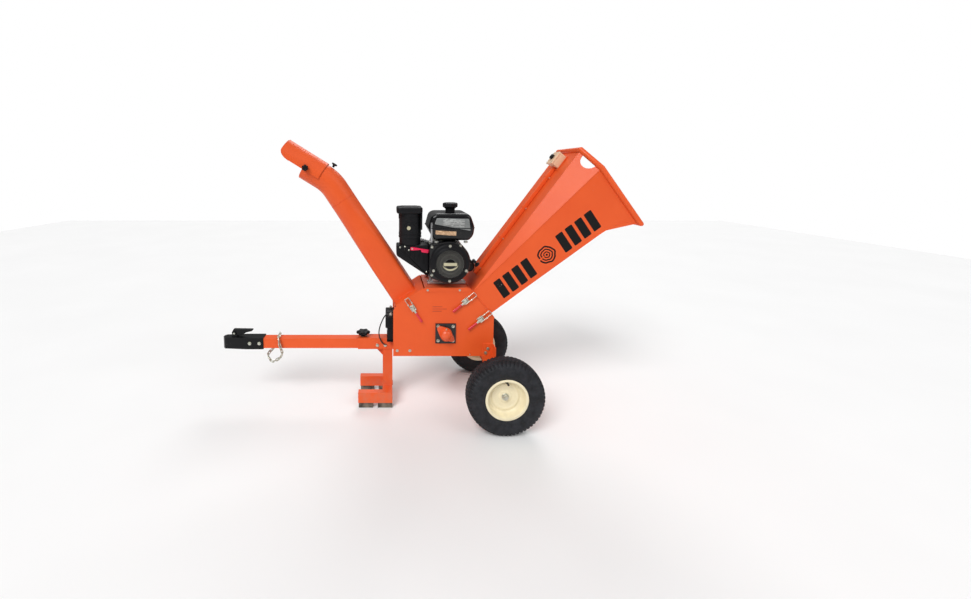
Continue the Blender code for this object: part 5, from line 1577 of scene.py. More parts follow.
@dataclass
class Engine(Assembly):
    """The single-cylinder engine: shroud, recoil starter, tank, air cleaner, controls, block and muffler."""

    x: float = -0.280
    z: float = 0.8883
    shroud_back: float = -0.085
    shroud_front: float = -0.170
    tank_shift: float = 0.0130
    tank_rise: float = 0.198
    tank_near: float = -0.150
    deck: float = 0.7406
    can_x: float = -0.4968
    can_low: float = 0.9831

    def shroud(self) -> None:
        """The pressed blower housing, with its rim band and its bolts."""
        turn = np.radians(np.linspace(-118, 92, 30))
        ring = [(0.120 * math.cos(t), 0.120 * math.sin(t)) for t in turn]
        outline = rounded(ring + [(-0.112, 0.104), (-0.112, -0.086)], 0.014, 4)
        body = solid(outline, soft_ends(0.0, 0.085, 0.010, 5), side_on(self.x, self.shroud_back, self.z))
        self.piece("shroud", body, GLOSS, replaces=("blower_housing",))
        band = solid(
            outline * 1.012, soft_ends(0.0, 0.010, 0.003, 3), side_on(self.x, self.shroud_back, self.z)
        )
        self.piece("shroud_rim", band, GLOSS)
        spots = [(-0.098, 0.090), (-0.098, -0.070), (0.060, 0.096), (0.098, -0.050)]
        bolts = [
            bolt(side_on(self.x + a, self.shroud_front, self.z + b), 0.010, 0.005, 0.0075) for a, b in spots
        ]
        self.piece("shroud_bolts", join(bolts), ZINC)

    def recoil(self) -> None:
        """The starter's cover: a stepped ring, a domed grille of crossing spiral ribs, and a plain badge."""
        face = spot(self.x, self.shroud_front - 0.0003, self.z)
        profile = [
            (0.0, 0.020),
            (0.0, 0.1080),
            (0.0015, 0.1100),
            (0.0120, 0.1100),
            (0.0160, 0.1085),
            (0.0190, 0.1050),
        ]
        profile += [(0.0205, 0.0990), (0.0212, 0.0900), (0.0235, 0.0862), (0.0290, 0.0838), (0.0318, 0.0815)]
        profile += [
            (0.0325, 0.0790),
            (0.0312, 0.0770),
            (0.0290, 0.0755),
            (0.0325, 0.0520),
            (0.0335, 0.0200),
            (0.0336, 0.002),
        ]
        cover = lathe(profile, face, (0, NEAR, 0), 128)
        self.piece("recoil_ring", cover, PLASTIC, replaces=("recoil_cover",))
        count, reach = 26, np.linspace(0.030, 0.0775, 18)
        rise = np.interp(reach, [0.020, 0.052, 0.0775], [0.0362, 0.0350, 0.0312])
        ribs = []
        for lean in (-1.0, 1.0):
            for start in np.linspace(0.0, 2 * np.pi, count, endpoint=False):
                turn = start + lean * (reach - 0.030) * 26.0
                path = np.stack([reach * np.cos(turn), -rise, reach * np.sin(turn)], axis=1) + np.array(face)
                ribs.append(tube(path, 0.00125, 6))
        # The ribs and rings wear the lighter grey as painted highlights.
        self.piece("grille_ribs", join(ribs), GRILLE_HIGHLIGHT)
        rings = [
            lathe(
                [(0.0335, r - 0.002), (0.0368, r - 0.001), (0.0368, r + 0.001), (0.0335, r + 0.002)],
                face,
                (0, NEAR, 0),
                72,
                ring=True,
            ) for r in (0.030, 0.0540)
        ]
        self.piece("grille_rings", join(rings), GRILLE_HIGHLIGHT)
        hub = lathe(
            [(0.030, 0.0285), (0.0372, 0.0280), (0.0380, 0.0262), (0.0381, 0.002)], face, (0, NEAR, 0), 64
        )
        self.piece("recoil_hub", hub, GLOSS)
        arch = np.radians(np.linspace(200, 340, 24))
        outer = [(0.046 * math.cos(t), 0.046 * math.sin(t) + 0.010) for t in arch]
        inner = [(0.040 * math.cos(t), 0.022 * math.sin(t) - 0.004) for t in arch[::-1]]
        crescent = solid(
            np.array(outer + inner),
            [(0.0360, 0.0), (0.0380, 0.0), (0.0384, 0.0005)],
            side_on(self.x, face.y, self.z),
        )
        plate = solid(
            box_outline(0.074, 0.017, 0.004),
            [(0.036, 0.0), (0.0386, 0.0), (0.0392, 0.0008)],
            side_on(self.x, face.y, self.z),
        )
        self.piece("recoil_badge", join([plate, crescent]), BADGE)
        spots = [(0.0, 0.0985), (0.0, -0.0985), (-0.0905, -0.040), (0.0905, -0.040)]
        bolts = [
            bolt(side_on(self.x + a, face.y - 0.0198, self.z + b), 0.0100, 0.005, 0.0078) for a, b in spots
        ]
        self.piece("recoil_bolts", join(bolts), ZINC)

    def handle(self) -> None:
        """The starter's grip: a rod that swells at both ends, with a neck and its cord's guide."""
        place = Vector((self.x + 0.142, self.shroud_front + 0.018, self.z + 0.006))
        turn = Matrix.Rotation(math.radians(-40), 4, "Y")
        frame = Matrix.Translation(spot(*place)) @ turn
        along = np.linspace(-1.0, 1.0, 25)
        swell = np.sqrt(np.clip(1.0 - along**8, 0.02, 1.0)) * (1.0 + 0.16 * along**2)
        sweep_turn = np.linspace(0, 2 * np.pi, 24, endpoint=False)
        grip = np.stack(
            [
                0.0090 * swell[:, None] * np.cos(sweep_turn),
                0.030 * along[:, None] + 0.0 * sweep_turn,
                0.0076 * swell[:, None] * np.sin(sweep_turn),
            ],
            axis=-1,
        )
        neck = lathe(
            [(-0.018, 0.0050), (-0.012, 0.0056), (-0.005, 0.0075), (0.0, 0.0076)],
            Vector((0, 0, 0)),
            (0, 0, 1),
            24,
        )
        shape = join([skin(grip), neck]).moved(frame)
        self.piece("starter_grip", shape, PLASTIC, "recoil_handle", ("recoil_handle",))
        guide = lathe(
            [(-0.030, 0.0150), (-0.022, 0.0150), (-0.0195, 0.0125), (-0.0190, 0.0100)],
            Vector((0, 0, 0)),
            (0, 0, 1),
            32,
        )
        self.piece("cord_guide", guide.moved(frame), PLASTIC)

    def tank(self) -> None:
        """The fuel tank, its seam, its panel and labels, and the strap on its left."""
        x, z = self.x + self.tank_shift, self.z + self.tank_rise
        half, tall = 0.131, 0.076
        corners = [
            (-half, -0.010), (-half + 0.022, -tall + 0.022), (-half + 0.040, -tall), (half - 0.030, -tall)
        ]
        corners += [
            (half - 0.006, -tall + 0.030), (half, 0.0), (half - 0.022, tall - 0.014), (half - 0.043, tall)
        ]
        corners += [(-half + 0.043, tall), (-half + 0.018, tall - 0.016)]
        outline = rounded(corners, 0.016, 5)
        shell = solid(outline, soft_ends(0.0, 0.235, 0.020, 7), side_on(x, 0.085, z))
        self.piece("tank_shell", shell, GLOSS, replaces=("fuel_tank",), sharp=50.0)
        loop = rounded([(-half, -0.150), (half, -0.150), (half, 0.085), (-half, 0.085)], 0.030, 8)
        at = np.concatenate([loop * (1.0, 1.0), np.full((len(loop), 1), z - 0.006)], axis=1)
        seam = tube(at + np.array((x + AXLE_X, 0.0, 0.0)), 0.0026, 10, True)
        self.piece("tank_seam", seam, GLOSS)
        face = side_on(x, self.tank_near, z)
        thin = [(-0.001, 0.0), (0.0006, 0.0), (0.0010, 0.0006)]
        panel = rounded([(-0.096, 0.018), (-0.084, 0.052), (0.096, 0.048), (0.106, -0.020)], 0.006, 3)
        self.piece("tank_panel", solid(panel, thin, face), PANEL)
        over = [(depth + 0.0008, inset) for depth, inset in thin]
        label = rounded([(-0.048, 0.012), (-0.048, 0.050), (0.072, 0.042), (0.070, -0.002)], 0.004, 3)
        paper = LabelFinish("pale_label", (0.42, 0.43, 0.42), (0.06, 0.06, 0.06), 0.009)
        self.piece("tank_label", solid(label, over, face), paper, slot="plastic")
        strip = rounded([(-0.090, -0.040), (-0.090, -0.018), (0.026, -0.024), (0.025, -0.048)], 0.003, 3)
        caution = LabelFinish("amber_label", (0.72, 0.47, 0.28), (0.20, 0.07, 0.02), 0.0075)
        self.piece("tank_strip", solid(strip, over, face), caution, slot="plastic")
        frame = side_on(x, self.tank_near + 0.012, z)
        strap = solid(
            box_outline(0.010, 0.120, 0.003),
            soft_ends(-0.002, 0.012, 0.001, 2),
            frame @ Matrix.Translation((-0.112, -0.034, 0.0)),
        )
        tabs = [
            solid(
                box_outline(0.020, 0.012, 0.003),
                soft_ends(0.0, 0.014, 0.001, 2),
                frame @ Matrix.Translation((a, -0.083, 0.0)),
            ) for a in (-0.085, 0.080)
        ]
        self.piece("tank_straps", join([strap] + tabs), STEEL)
        marks = [
            bolt(frame @ Matrix.Translation((a, -0.083, 0.014)), 0.009, 0.004, 0.006) for a in (-0.085, 0.080)
        ]
        self.piece("tank_bolts", join(marks), ZINC)

    def cap(self) -> None:
        """A flared, faceted cap with a ribbed skirt on a neck."""
        place = spot(self.x + 0.018, -0.040, self.z + 0.2733)
        profile = [
            (0.0, 0.0270),
            (0.0160, 0.0275),
            (0.0220, 0.0300),
            (0.0290, 0.0405),
            (0.0320, 0.0435),
            (0.0470, 0.0435),
        ]
        profile += [(0.0515, 0.0418), (0.0540, 0.0370), (0.0548, 0.0300), (0.0535, 0.0270), (0.0535, 0.003)]
        shape = lathe(profile, place, (0, 0, 1), 96, lobes=8, dip=0.10)
        self.piece("flared_cap", shape, PLASTIC, "fuel_cap", ("fuel_cap",))
        collar = lathe([(-0.004, 0.036), (-0.001, 0.0345), (-0.0004, 0.0300)], place, (0, 0, 1), 48)
        self.piece("filler_collar", collar, GLOSS)

    def air_cleaner(self) -> None:
        """The canister with ring steps, its square lid, the skirt, the clip and a plain round emblem."""
        y, low = -0.085, self.can_low
        profile = [
            (0.0, 0.055),
            (0.0, 0.0610),
            (0.0380, 0.0615),
            (0.0400, 0.0650),
            (0.0480, 0.0655),
            (0.0500, 0.0636),
        ]
        for base in (0.054, 0.062, 0.150, 0.158):
            profile += [
                (base, 0.0636), (base + 0.0015, 0.0650), (base + 0.0050, 0.0650), (base + 0.0065, 0.0636)
            ]
        profile += [(0.180, 0.0636), (0.181, 0.040)]
        can = lathe(profile, spot(self.can_x, y, low), (0, 0, 1), 96)
        lid_place = Matrix.Translation(spot(self.can_x - 0.005, y + 0.001, low))
        lid = solid(box_outline(0.146, 0.144, 0.026, 8), soft_ends(0.179, 0.214, 0.009, 5), lid_place)
        crown = solid(box_outline(0.104, 0.104, 0.018, 6), soft_ends(0.205, 0.2165, 0.003, 3), lid_place)
        skirt = solid(
            box_outline(0.010, 0.116, 0.004), soft_ends(
                0.087, 0.186, 0.003, 3
            ), lid_place @ Matrix.Translation((0.0665, 0.0, 0.0))
        )
        self.piece(
            "filter_can", join([can, lid, crown, skirt]), PLASTIC, replaces=("air_cleaner",), sharp=30.0
        )
        arch = np.radians(np.linspace(0, 180, 20))
        reliefs = []
        for reach in (0.028, 0.040):
            across, rise = reach * np.cos(arch), reach * np.sin(arch)
            path = np.stack([across, -np.sqrt(0.0640**2 - across**2), rise], axis=1)
            reliefs.append(tube(path + np.array(spot(self.can_x, y, low + 0.098)), 0.0024, 10))
        self.piece("filter_relief", join(reliefs), PLASTIC)
        clip = solid(
            box_outline(0.006, 0.030, 0.002),
            soft_ends(0.0, 0.046, 0.002, 3),
            Matrix.Translation(spot(self.can_x - 0.0625, y, low + 0.146)),
        )
        ears = [
            tube(
                ribs_between(
                    spot(self.can_x - 0.064, y + s, low + 0.150),
                    spot(self.can_x - 0.064, y + s, low + 0.196),
                    6,
                ),
                0.0016,
                8,
            ) for s in (-0.012, 0.012)
        ]
        self.piece("filter_clip", join([clip] + ears), ENAMEL)
        emblem = side_on(self.can_x - 0.010, y - 0.0625, low + 0.098)
        self.piece(
            "filter_emblem",
            solid(circle(0.0105, 32), [(-0.004, 0.0), (0.0015, 0.0), (0.0019, 0.0005)], emblem),
            BADGE,
        )
        elbow = smooth_path(
            [
                spot(self.can_x + 0.020, -0.030, low + 0.020),
                spot(self.can_x + 0.060, -0.006, low - 0.010),
                spot(self.x - 0.090, 0.010, self.z + 0.060),
            ], 10
        )
        self.piece("intake_elbow", tube(elbow, 0.021, 24), PLASTIC)

    def controls(self) -> None:
        """The ribbed cover under the air cleaner, its screws and the cherry choke lever."""
        right, top = self.x - 0.1123, self.z + 0.0945
        corners = [(right - 0.183, top), (right - 0.183, top - 0.060), (right, self.z - 0.088), (right, top)]
        middle = (right - 0.085, top - 0.070)
        outline = rounded([(a - middle[0], b - middle[1]) for a, b in corners], 0.010, 5)
        shell = solid(outline, soft_ends(0.0, 0.105, 0.007, 5), side_on(middle[0], -0.035, middle[1]))
        self.piece("control_case", shell, PLASTIC, replaces=("control_cover",))
        ribs = []
        for step in range(5):
            reach = 0.030 + 0.026 * step
            low = top - 0.072 - (0.122 / 0.183) * (0.183 - reach) * 0.0 - 0.010 * (4 - step)
            path = ribs_between(
                spot(right - reach, -0.1405, top - 0.012), spot(right - reach, -0.1405, low + 0.010), 8
            )
            ribs.append(tube(path, 0.0022, 8))
        self.piece("control_ribs", join(ribs), PLASTIC)
        screws = [
            screw(side_on(a, -0.140, b), 0.0046) for a, b in (
                (-0.555, 0.971), (-0.527, 0.975), (-0.505, 0.955), (-0.405, 0.830)
            )
        ]
        self.piece("control_screws", join(screws), ZINC)
        lever = [
            (-0.010, -0.008),
            (0.0, -0.011),
            (0.050, -0.007),
            (0.052, -0.020),
            (0.090, -0.026),
            (0.094, -0.006),
        ]
        lever += [(0.052, 0.0), (0.0, 0.009), (-0.010, 0.006)]
        blade = solid(
            rounded(lever, 0.004, 4),
            soft_ends(0.0006, 0.0058, 0.0012, 3),
            side_on(self.x - 0.207, -0.140, self.z + 0.076),
        )
        self.piece("choke_blade", blade, CHERRY, "choke_lever", ("choke_lever",))
        pivot = lathe(
            [(0.0, 0.0050), (0.0078, 0.0048), (0.0088, 0.0030)],
            spot(self.x - 0.207, -0.140, self.z + 0.076),
            (0, NEAR, 0),
            20,
        )
        self.piece("choke_pivot", pivot, ZINC)

    def linkage(self) -> None:
        """Throttle rods, a governor spring and their bracket, between the tank and the shroud."""
        y = -0.118
        rods = [
            tube(
                smooth_path(
                    [
                        spot(-0.392, y, 1.000),
                        spot(-0.350, y - 0.004, 1.006),
                        spot(-0.300, y, 1.003),
                        spot(-0.262, y, 1.008),
                    ],
                    8,
                ),
                0.0012,
                8,
            ),
            tube(
                smooth_path(
                    [
                        spot(-0.392, y + 0.012, 0.990),
                        spot(-0.330, y + 0.010, 0.998),
                        spot(-0.270, y + 0.012, 0.996),
                    ],
                    8,
                ),
                0.0012,
                8,
            ),
        ]
        self.piece("throttle_rods", join(rods), ZINC)
        turn = np.linspace(0.0, 13 * 2 * np.pi, 260)
        along = np.linspace(-0.372, -0.318, 260)
        coil = np.stack(
            [along + AXLE_X, y - 0.010 + 0.0032 * np.cos(turn), 1.002 + 0.0032 * np.sin(turn)], axis=1
        )
        self.piece("governor_spring", tube(coil, 0.00055, 6), STEEL)
        plate = solid(
            rounded([(-0.030, -0.008), (0.034, -0.008), (0.030, 0.010), (-0.030, 0.012)], 0.004, 3),
            soft_ends(0.0, 0.002, 0.0005, 2),
            side_on(-0.330, y + 0.020, 1.001),
        )
        self.piece("throttle_bracket", plate, ZINC)

    def block(self) -> None:
        """The cast block with its feet, the finned cylinder, the cover, the plugs and the dipstick."""
        x, z, base = self.x, self.z, self.deck
        corners = [
            (x - 0.086, base + 0.014),
            (x + 0.086, base + 0.014),
            (x + 0.086, z + 0.085),
            (x + 0.058, z + 0.1215),
        ]
        corners += [(x - 0.058, z + 0.1215), (x - 0.086, z + 0.085)]
        outline = rounded([(a - x, b - z) for a, b in corners], 0.016, 5)
        body = solid(outline, soft_ends(0.0, 0.213, 0.008, 4), side_on(x, 0.130, z))
        feet = [
            solid(
                box_outline(0.224, 0.040, 0.010),
                soft_ends(0.0, 0.017, 0.003, 3),
                Matrix.Translation(spot(x, y, base)),
            )
            for y in (-0.060, 0.105)
        ]
        rails = [
            solid(
                box_outline(0.018, 0.020, 0.003),
                soft_ends(0.004, 0.205, 0.002, 2),
                side_on(x + s * 0.086, 0.128, base + 0.016),
            )
            for s in (-1, 1)
        ]
        self.piece("block", join([body] + feet + rails), ALLOY, replaces=("crankcase",))
        spots = [(x + s * 0.0985, y) for s in (-1, 1) for y in (-0.060, 0.105)]
        bolts = [bolt(Matrix.Translation(spot(a, b, base + 0.0168)), 0.013, 0.007, 0.0100) for a, b in spots]
        self.piece("foot_bolts", join(bolts), ZINC)
        lean = math.radians(17)
        frame = Matrix.Translation(
            spot(x - 0.080, 0.031, z + 0.026)
        ) @ Matrix.Rotation(lean, 4, "Y") @ Matrix.Rotation(math.radians(-90), 4, "Y")
        fins = [
            solid(
                box_outline(0.112, 0.122, 0.018),
                soft_ends(0.004 + 0.0115 * k, 0.0072 + 0.0115 * k, 0.001, 2),
                frame,
            )
            for k in range(8)
        ]
        barrel = solid(box_outline(0.084, 0.094, 0.020), soft_ends(-0.010, 0.094, 0.002, 2), frame)
        cover = solid(box_outline(0.078, 0.104, 0.016), soft_ends(0.094, 0.122, 0.008, 5), frame)
        self.piece("cylinder", join(fins + [barrel]), ALLOY)
        self.piece("valve_cover", cover, GLOSS)
        plug = lathe(
            [
                (0.0, 0.0075),
                (0.012, 0.0075),
                (0.013, 0.0048),
                (0.036, 0.0050),
                (0.040, 0.0105),
                (0.058, 0.0095),
            ],
            spot(x - 0.150, -0.020, z + 0.018),
            (-0.35, -0.80, 0.15),
            20,
        )
        self.piece("spark_cap", plug, PLASTIC)
        drain = bolt(side_on(x + 0.052, -0.0865, base + 0.030), 0.014, 0.008, 0.0105)
        self.piece("drain_plug", drain, ZINC)
        stick = lathe(
            [(0.0, 0.012), (0.010, 0.012), (0.012, 0.016), (0.024, 0.016), (0.027, 0.012), (0.028, 0.004)],
            spot(x + 0.086, 0.040, base + 0.045),
            (0.8, 0.0, 0.6),
            32,
            lobes=8,
            dip=0.12,
        )
        self.piece("dipstick", stick, PLASTIC)

    def exhaust(self) -> None:
        """The muffler's can behind a punched guard, its flange bolts and its tail pipe."""
        x, z = self.x - 0.206, self.z + 0.151
        can = solid(
            box_outline(0.108, 0.118, 0.030, 8),
            soft_ends(-0.053, 0.053, 0.012, 5),
            Matrix.Translation(spot(x, 0.065, z)),
        )
        pipe = tube(
            smooth_path(
                [spot(self.x - 0.180, 0.060, self.z + 0.084), spot(self.x - 0.180, 0.060, self.z + 0.104)], 4
            ),
            0.0165,
            24,
        )
        self.piece("muffler_can", join([can, pipe]), HEAT, replaces=("muffler",))
        guard = solid(
            box_outline(0.113, 0.121, 0.032, 8),
            soft_ends(-0.040, 0.045, 0.001, 2),
            Matrix.Translation(spot(x, 0.065, z)),
        )
        self.piece("muffler_guard", guard, SlottedFinish(), slot="muffler")
        tail = lathe(
            [(-0.004, 0.012), (0.018, 0.012), (0.018, 0.0095), (0.006, 0.0092)],
            spot(x - 0.010, 0.124, z + 0.020),
            (0, 1, 0),
            28,
        )
        self.piece("tail_pipe", tail, HEAT)
        bolts = [
            bolt(
                Matrix.Translation(spot(x + a, 0.065 + b, z + 0.0525)), 0.009, 0.004, 0.006
            ) for a in (-0.036, 0.036) for b in (-0.040, 0.040)
        ]
        self.piece("guard_bolts", join(bolts), ZINC)

    def starter(self) -> None:
        """The electric starter: a nose, a drawn can with two swaged rings, an end cap and a terminal."""
        place = spot(self.x + 0.136, -0.052, self.z - 0.052)
        profile = [
            (0.0, 0.008), (0.0, 0.0205), (0.0015, 0.0220), (0.030, 0.0220), (0.0325, 0.0345), (0.034, 0.0360)
        ]
        profile += [
            (0.052, 0.0360),
            (0.0535, 0.0345),
            (0.0550, 0.0345),
            (0.0565, 0.0357),
            (0.140, 0.0357),
            (0.1415, 0.0342),
        ]
        profile += [
            (0.143, 0.0342),
            (0.1445, 0.0360),
            (0.168, 0.0355),
            (0.174, 0.0320),
            (0.176, 0.0240),
            (0.176, 0.0100),
        ]
        can = lathe(profile, place, (0, FAR, 0), 64)
        self.piece("starter_can", can, ENAMEL, replaces=("starter_motor",))
        post = lathe(
            [(0.0, 0.0060), (0.006, 0.0060), (0.007, 0.0035), (0.016, 0.0035)],
            place + Vector((0.010, 0.150, 0.033)),
            (0, 0, 1),
            18,
        )
        self.piece("starter_post", post, ZINC)

    def build(self) -> None:
        """Makes the engine."""
        self.shroud()
        self.recoil()
        self.handle()
        self.tank()
        self.cap()
        self.air_cleaner()
        self.controls()
        self.linkage()
        self.block()
        self.exhaust()
        self.starter()


# Feed hopper


@dataclass
class Hopper(Assembly):
    """The feed hopper's rolled lip, plain graphics, curtain, switch box and weld beads."""

    flare: float = 0.095
    half: float = 0.150
    reach: float = 0.958
    lip: float = 0.0152
    start: float = 0.028
    rise: Colour = (-0.602, 0.0, 0.798)

    def wall(self, along: float, out: float, side: float = NEAR, proud: float = 0.0) -> Vector:
        """A point of a side wall, which leans outwards as it leaves the base."""
        return HOPPER_SEAT.at(along, out, side * (self.half + self.flare * out + proud))

    def corners(self) -> tuple[Vector, Vector, Vector]:
        """The near half's mouth corners: bottom, where the side's edge ends, and top."""
        lean = Vector(self.rise).normalized()
        bottom = self.wall(self.start + 0.250, self.reach - 0.028)
        side = bottom + lean * 0.367
        side.y = self.wall(0.0, self.reach - 0.004).y
        crest = bottom + lean * 0.490
        crest.y = -self.half
        return bottom, side, crest

    def rolled_lip(self) -> None:
        """A round bar mitred at the mouth's six corners.

        At each corner the section's in-plane axis is the mitre's, stretched by one over the cosine of half
        the turn, so the bar keeps its thickness.
        """
        near = [np.array(p) for p in self.corners()]
        far = [p * (1.0, -1.0, 1.0) for p in near[::-1]]
        corner = np.array(near + far)
        normal = unit(np.cross(corner[1] - corner[0], corner[5] - corner[0]))
        into = unit(corner - np.roll(corner, 1, axis=0))
        away = unit(np.roll(corner, -1, axis=0) - corner)
        mitre = np.cross(unit(into + away), normal)
        stretch = 1.0 / np.sum(mitre * np.cross(into, normal), axis=1, keepdims=True)
        turn = np.linspace(0.0, 2 * np.pi, 40, endpoint=False)[None, :, None]
        loops = corner[:, None] + self.lip * (
            np.cos(turn) * (mitre * stretch)[:, None] + np.sin(turn) * normal
        )
        self.piece("rolled_lip", skin(loops, True), POWDER)

    def patch(self, outline: Points, side: float) -> Sheet:
        """A thin film on a side wall, from its outline in (along, out)."""
        low = [self.wall(a, b, side, -0.0003) for a, b in outline]
        high = [self.wall(a, b, side, 0.0004) for a, b in outline]
        return skin(np.array([low, high]))

    def graphics(self) -> None:
        """Slanted black bars either side of a disc with growth rings: decoration without words."""
        for side, label in ((NEAR, "near"), (FAR, "far")):
            films = []
            for low, count in ((0.115, 4), (0.535, 4)):
                for index in range(count):
                    start = low + index * 0.062
                    bar = [
                        (0.168, start), (0.168, start + 0.045), (0.056, start + 0.055), (0.056, start + 0.010)
                    ]
                    films.append(self.patch(rounded(bar, 0.006, 3), side))
            for radius, width in ((0.050, 0.009), (0.034, 0.007), (0.019, 0.006)):
                turn = np.linspace(0.0, 2 * np.pi, 65)
                wave = radius * (1.0 + 0.035 * np.sin(5 * turn + 1.0) + 0.02 * np.sin(9 * turn))
                for low, high in ((0, 31), (33, 64)):
                    part = slice(low, high + 1)
                    ring = [
                        (
                            0.112 + r * math.sin(t), 0.450 + r * math.cos(t)
                        ) for r, t in zip(wave[part], turn[part])
                    ]
                    inner = [
                        (0.112 + (r - width) * math.sin(t), 0.450 + (r - width) * math.cos(t))
                        for r, t in zip(wave[part], turn[part])
                    ]
                    films.append(self.patch(np.array(ring + inner[::-1]), side))
            films.append(self.patch(circle(0.006, 20) + (0.112, 0.450), side))
            self.piece(f"hopper_bars_{label}", join(films), VINYL)

    def welds(self) -> None:
        """Beads round the throat on the base flange, and folded seams along the walls' upper edges."""
        beads = []
        for side in (NEAR, FAR):
            y = side * (self.half + 0.0012)
            beads.append(
                weld(
                    ribs_between(HOPPER_SEAT.at(0.030, 0.0068, y), HOPPER_SEAT.at(0.190, 0.0068, y), 8),
                    0.0026,
                )
            )
        for along in (self.start - 0.001, self.start + 0.164):
            path = ribs_between(
                HOPPER_SEAT.at(along, 0.0070, -0.147), HOPPER_SEAT.at(along, 0.0070, 0.147), 8
            )
            beads.append(weld(path, 0.0028))
        self.piece("throat_weld", join(beads), POWDER)
        _, side_top, _ = self.corners()
        seams = []
        for side in (NEAR, FAR):
            top = self.wall(self.start, 0.006, side)
            end = Vector((side_top.x, side * abs(side_top.y), side_top.z))
            floor = [
                self.wall(0.191, 0.006, side), self.wall(0.199, 0.768, side), self.wall(0.278, 0.926, side)
            ]
            seams.append(tube(ribs_between(top, end, 12), 0.0018, 8))
            seams.append(tube(smooth_path(np.array(floor), 8), 0.0018, 8))
        self.piece("hopper_seams", join(seams), POWDER)

    def top_frame(self) -> tuple[Matrix, float]:
        """A frame on the top panel, with X from the throat to the mouth and Z out of it, and its length."""
        throat = HOPPER_SEAT.at(self.start, 0.0018) - Vector((AXLE_X, 0.0, 0.0))
        crest = self.corners()[2] - Vector((AXLE_X, 0.0, 0.0))
        edge = Seat((throat.x, throat.z), (crest.x, crest.z))
        return edge.matrix(), edge.length()

    def switch(self) -> None:
        """The conduit up the hopper's back, the beige switch box with its lid, its screws and its button."""
        frame, length = self.top_frame()
        end = length - 0.045
        start, height = end - 0.080, 0.055
        middle = (start + end) / 2

        def on_top(along: float, y: float, rise: float) -> Matrix:
            """The frame moved to a place on the panel."""
            return frame @ Matrix.Translation((along, y, rise))

        run = solid(
            box_outline(start + 0.005 - 0.084, 0.025, 0.004),
            soft_ends(0.001, 0.025, 0.0035),
            on_top((start + 0.089) / 2, 0.0, 0.0),
        )
        plate = solid(
            box_outline(0.098, 0.096, 0.006),
            soft_ends(0.001, 0.004, 0.001, 2),
            on_top((start + end - 0.006) / 2, 0.0, 0.0),
        )
        self.piece("conduit", join([run, plate]), POWDER, replaces=("switch_box",))
        case = solid(
            box_outline(0.080, 0.080, 0.006),
            soft_ends(0.0040, height - 0.011, 0.003),
            on_top(middle, 0.0, 0.0),
        )
        self.piece("switch_case", case, BEIGE)
        lid = solid(
            box_outline(0.083, 0.083, 0.007),
            soft_ends(height - 0.012, height, 0.003),
            on_top(middle, 0.0, 0.0),
        )
        self.piece("switch_lid", lid, BEIGE)
        screws = [
            screw(on_top(middle + a, b, height), 0.0036) for a in (-0.032, 0.032) for b in (-0.032, 0.032)
        ]
        clips = [
            bolt(
                on_top(0.130 + 0.22 * k, s * 0.019, 0.001), 0.009, 0.004, 0.0065
            ) for k in range(4) for s in (-1, 1)
        ]
        self.piece("switch_screws", join(screws + clips), ZINC)
        saddles = [
            solid(
                box_outline(0.014, 0.056, 0.003),
                soft_ends(0.001, 0.003, 0.0005, 2),
                on_top(0.130 + 0.22 * k, 0.0, 0.0),
            )
            for k in range(4)
        ]
        bridges = [
            solid(
                box_outline(0.014, 0.029, 0.002),
                soft_ends(0.002, 0.0268, 0.001, 2),
                on_top(0.130 + 0.22 * k, 0.0, 0.0),
            )
            for k in range(4)
        ]
        self.piece("conduit_saddles", join(saddles + bridges), POWDER)
        seat = on_top(start + 0.042, 0.0, height)
        ring = solid(circle(0.0150, 40), [(-0.001, 0.0), (0.0020, 0.0), (0.0028, 0.0010)], seat)
        self.piece("button_bezel", ring, GLOSS)
        button = lathe(
            [
                (-0.006, 0.0070),
                (0.0040, 0.0075),
                (0.0045, 0.0150),
                (0.0060, 0.0160),
                (0.0115, 0.0160),
                (0.0145, 0.0135),
                (0.0158, 0.0090),
                (0.0160, 0.002),
            ],
            Vector((0, 0, 0)),
            (0, 0, 1),
            48,
        )
        self.piece("mushroom_button", button.moved(seat), GLOSS, "stop_button", ("stop_button",))

    def curtain(self) -> None:
        """Six rubber strips that hang side by side, each bowed a little more towards its foot."""
        frame, length = self.top_frame()
        hinge = frame @ Vector((length * 0.42, 0.0, -0.022))
        strips = []
        for index, middle in enumerate(np.linspace(-0.110, 0.110, 6)):
            drop = np.linspace(0.004, -0.250, 22)[:, None]
            across = box_outline(0.0424, 0.0042, 0.0014, 2)[None, :, :]
            bow = 0.004 * math.sin(1.7 * index + 0.6) * (np.clip(-drop, 0.0, 1.0) / 0.25) ** 2
            shape = np.stack(
                [
                    hinge.x + across[..., 1] + bow,
                    middle + across[..., 0] + 0.0 * drop,
                    hinge.z + drop + 0.0 * across[..., 0],
                ],
                axis=-1,
            )
            strips.append(skin(shape))
        self.piece("curtain_strips", join(strips), CURTAIN, "hopper_flap", ("hopper_flap",))
        ends = ribs_between(hinge + Vector((0, -0.134, 0.004)), hinge + Vector((0, 0.134, 0.004)), 4)
        self.piece("curtain_rod", tube(ends, 0.0042, 16), ZINC)

    def build(self) -> None:
        """Makes the hopper's pieces."""
        self.rolled_lip()
        self.graphics()
        self.welds()
        self.switch()
        self.curtain()


# Discharge chute


